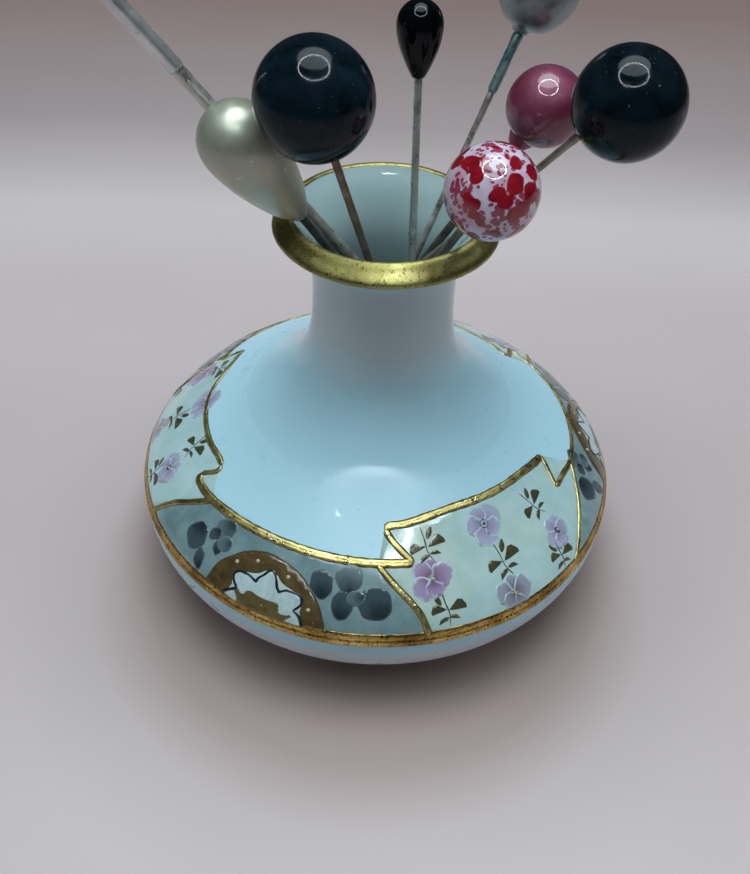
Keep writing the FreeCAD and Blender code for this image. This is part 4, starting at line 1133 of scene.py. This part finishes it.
# ------------------------------------------------------------------ stage
def make_floor():
    m, nt, b = new_material("floor_paper")
    coords = object_coords(nt)
    base = ramp(nt, noise_fac(nt, 9.0, 3.0, coords=coords), [(0.3, (0.604, 0.510, 0.500)), (0.7, (0.652, 0.551, 0.539))])
    sp = ramp(nt, noise_fac(nt, 420.0, 1.0, coords=coords), [(0.80, 0.0), (0.86, 1.0)])
    col = mix(nt, math_node(nt, "MULTIPLY", sp, 0.25), base, (0.22, 0.20, 0.19))
    sep = node(nt, "ShaderNodeSeparateXYZ")
    nt.links.new(coords, sep.inputs[0])
    # one painted gradient of light and shade along the paper: even, a painted brighter band a hand's breadth behind the
    # object, then painted shade falling away to a warmer grey
    along = ramp(nt, math_node(nt, "MULTIPLY", math_node(nt, "ADD", sep.outputs[1], 0.06), 3.0, clamp=True),
                 [(0.0, (0.85, 0.86, 0.865)), (0.07, (0.80, 0.805, 0.80)), (0.25, (0.80, 0.80, 0.80)), (0.39, (0.86, 0.865, 0.87)),
                  (0.455, (0.95, 0.97, 0.975)), (0.50, (0.97, 1.0, 1.0)), (0.545, (0.85, 0.87, 0.875)), (0.65, (0.63, 0.61, 0.62)), (0.97, (0.50, 0.415, 0.385))])
    col = mix(nt, 1.0, col, along, "MULTIPLY")
    # painted shade: a soft darkening of the paper under and close around the body, standing in for its contact shadow
    flat = node(nt, "ShaderNodeCombineXYZ")
    nt.links.new(sep.outputs[0], flat.inputs[0])
    nt.links.new(math_node(nt, "ADD", sep.outputs[1], 0.010), flat.inputs[1])
    far = node(nt, "ShaderNodeVectorMath", operation="LENGTH")
    nt.links.new(flat.outputs[0], far.inputs[0])
    painted_shade = ramp(nt, math_node(nt, "MULTIPLY", far.outputs["Value"], 10.0, clamp=True), [(0.37, (0.68, 0.60, 0.57)), (0.47, (0.93, 0.93, 0.93)), (0.60, (1.0, 1.0, 1.0))])
    col = mix(nt, 1.0, col, painted_shade, "MULTIPLY")
    nt.links.new(col, b.inputs["Base Color"])
    b.inputs["Roughness"].default_value = 0.62
    b.inputs["Specular IOR Level"].default_value = 0.35
    bump(nt, b, noise_fac(nt, 1400.0, 3.0, coords=coords), 0.06, 0.0002)
    # the paper fades out into the background well away from the object, on every side
    away = node(nt, "ShaderNodeVectorMath", operation="LENGTH")
    nt.links.new(coords, away.inputs[0])
    gone = math_node(nt, "MULTIPLY", math_node(nt, "SUBTRACT", away.outputs["Value"], 0.42), 2.6, clamp=True)
    clear = nt.nodes.new("ShaderNodeBsdfTransparent")
    both = nt.nodes.new("ShaderNodeMixShader")
    out = [n for n in nt.nodes if n.type == "OUTPUT_MATERIAL"][0]
    nt.links.new(gone, both.inputs[0])
    nt.links.new(b.outputs[0], both.inputs[1])
    nt.links.new(clear.outputs[0], both.inputs[2])
    nt.links.new(both.outputs[0], out.inputs[0])
    xs = np.linspace(-1.0, 1.0, 21)
    n = len(xs)
    verts = [(float(x), float(y), -0.00002) for y in xs for x in xs]
    faces = [(i * n + k, i * n + k + 1, (i + 1) * n + k + 1, (i + 1) * n + k) for i in range(n - 1) for k in range(n - 1)]
    mesh = bpy.data.meshes.new("floor_sheet")
    mesh.from_pydata(verts, [], faces)
    mesh.polygons.foreach_set("use_smooth", [True] * len(mesh.polygons))
    mesh.materials.append(m)
    obj = bpy.data.objects.new("floor_sheet", mesh)
    bpy.context.scene.collection.objects.link(obj)


make_floor()


def area_light(name, location, target, size, power, colour=(1, 1, 1), size_y=None):
    data = bpy.data.lights.new(name, "AREA")
    data.shape = "RECTANGLE" if size_y else "DISK"
    data.size = size
    if size_y:
        data.size_y = size_y
    data.energy = power
    data.color = colour
    obj = bpy.data.objects.new(name, data)
    obj.location = location
    obj.rotation_euler = (Vector(target) - Vector(location)).to_track_quat("-Z", "Y").to_euler()
    bpy.context.scene.collection.objects.link(obj)
    return obj


def ring_light(centre, radius, tube, strength, tilt=0.0):
    m = bpy.data.materials.new("ring_lamp")
    m.use_nodes = True
    nt = m.node_tree
    nt.nodes.clear()
    em = nt.nodes.new("ShaderNodeEmission")
    em.inputs["Color"].default_value = (0.87, 0.98, 1.04, 1.0)
    em.inputs["Strength"].default_value = strength
    out = nt.nodes.new("ShaderNodeOutputMaterial")
    nt.links.new(em.outputs[0], out.inputs[0])
    verts, faces = [], []
    lamps, per, k = 48, 4, 8
    for g in range(lamps):
        base = len(verts)
        for i in range(per + 1):
            a = 2 * math.pi * (g + 0.84 * i / per) / lamps
            for j in range(k):
                b = 2 * math.pi * j / k
                verts.append(((radius + tube * math.cos(b)) * math.cos(a), (radius + tube * math.cos(b)) * math.sin(a), tube * math.sin(b)))
        for i in range(per):
            for j in range(k):
                faces.append((base + i * k + j, base + (i + 1) * k + j, base + (i + 1) * k + (j + 1) % k, base + i * k + (j + 1) % k))
        faces.append(tuple(base + j for j in range(k)))
        faces.append(tuple(base + per * k + j for j in reversed(range(k))))
    mesh = bpy.data.meshes.new("ring_lamp")
    mesh.from_pydata(verts, [], faces)
    mesh.materials.append(m)
    obj = bpy.data.objects.new("ring_lamp", mesh)
    obj.location = centre
    obj.rotation_euler = (tilt, 0, 0)
    bpy.context.scene.collection.objects.link(obj)
    obj.visible_camera = False
    obj.visible_shadow = False
    obj.visible_diffuse = False
    return obj


world = bpy.data.worlds.new("soft_room")
bpy.context.scene.world = world
world.use_nodes = True
wn = world.node_tree
bg = wn.nodes["Background"]
bg.inputs["Color"].default_value = (0.74, 0.82, 0.88, 1.0)
bg.inputs["Strength"].default_value = 0.035
seen = wn.nodes.new("ShaderNodeBackground")
seen.inputs["Color"].default_value = (0.50, 0.475, 0.485, 1.0)
seen.inputs["Strength"].default_value = 0.85
path = wn.nodes.new("ShaderNodeLightPath")
pick = wn.nodes.new("ShaderNodeMixShader")
wn.links.new(path.outputs["Is Camera Ray"], pick.inputs[0])
wn.links.new(bg.outputs[0], pick.inputs[1])
wn.links.new(seen.outputs[0], pick.inputs[2])
wn.links.new(pick.outputs[0], [k for k in wn.nodes if k.type == "OUTPUT_WORLD"][0].inputs[0])
ring_light((0.0, -0.066, 0.335), 0.118, 0.0024, 62.0)
area_light("soft_front", (0.0, -0.066, 0.335), (0.0, 0.0, 0.03), 0.24, 0.44, (0.87, 0.98, 1.04)).visible_glossy = False
area_light("soft_top", (0.0, 0.10, 0.75), (0.0, 0.0, 0.03), 0.6, 3.75, (0.86, 0.98, 1.05))
area_light("soft_left", (-0.70, 0.02, 0.42), (0.0, 0.0, 0.03), 0.5, 1.20, (0.86, 0.97, 1.05)).visible_glossy = False
area_light("soft_right", (0.70, 0.05, 0.42), (0.0, 0.0, 0.03), 0.5, 1.20, (0.87, 0.97, 1.05)).visible_glossy = False

# camera
cam_data = bpy.data.cameras.new("camera")
cam_data.sensor_fit = "AUTO"
cam_data.sensor_width = 36.0
cam_data.sensor_height = 36.0
cam_data.lens = 937.064 / 874.0 * 36.0
cam_data.clip_start = 0.005
cam_data.clip_end = 10.0
cam = bpy.data.objects.new("camera", cam_data)
rt, up, fw = Vector((0.99907373, 0.03114986, 0.0296877)), Vector((-0.042972, 0.68609007, 0.72624639)), Vector((-0.00225404, 0.72684944, -0.68679314))
cam.matrix_world = Matrix(((rt.x, up.x, -fw.x, 0.0), (rt.y, up.y, -fw.y, -0.112017), (rt.z, up.z, -fw.z, 0.125769), (0, 0, 0, 1)))
bpy.context.scene.collection.objects.link(cam)
bpy.context.scene.camera = cam
bpy.context.scene.view_settings.view_transform = "Standard"
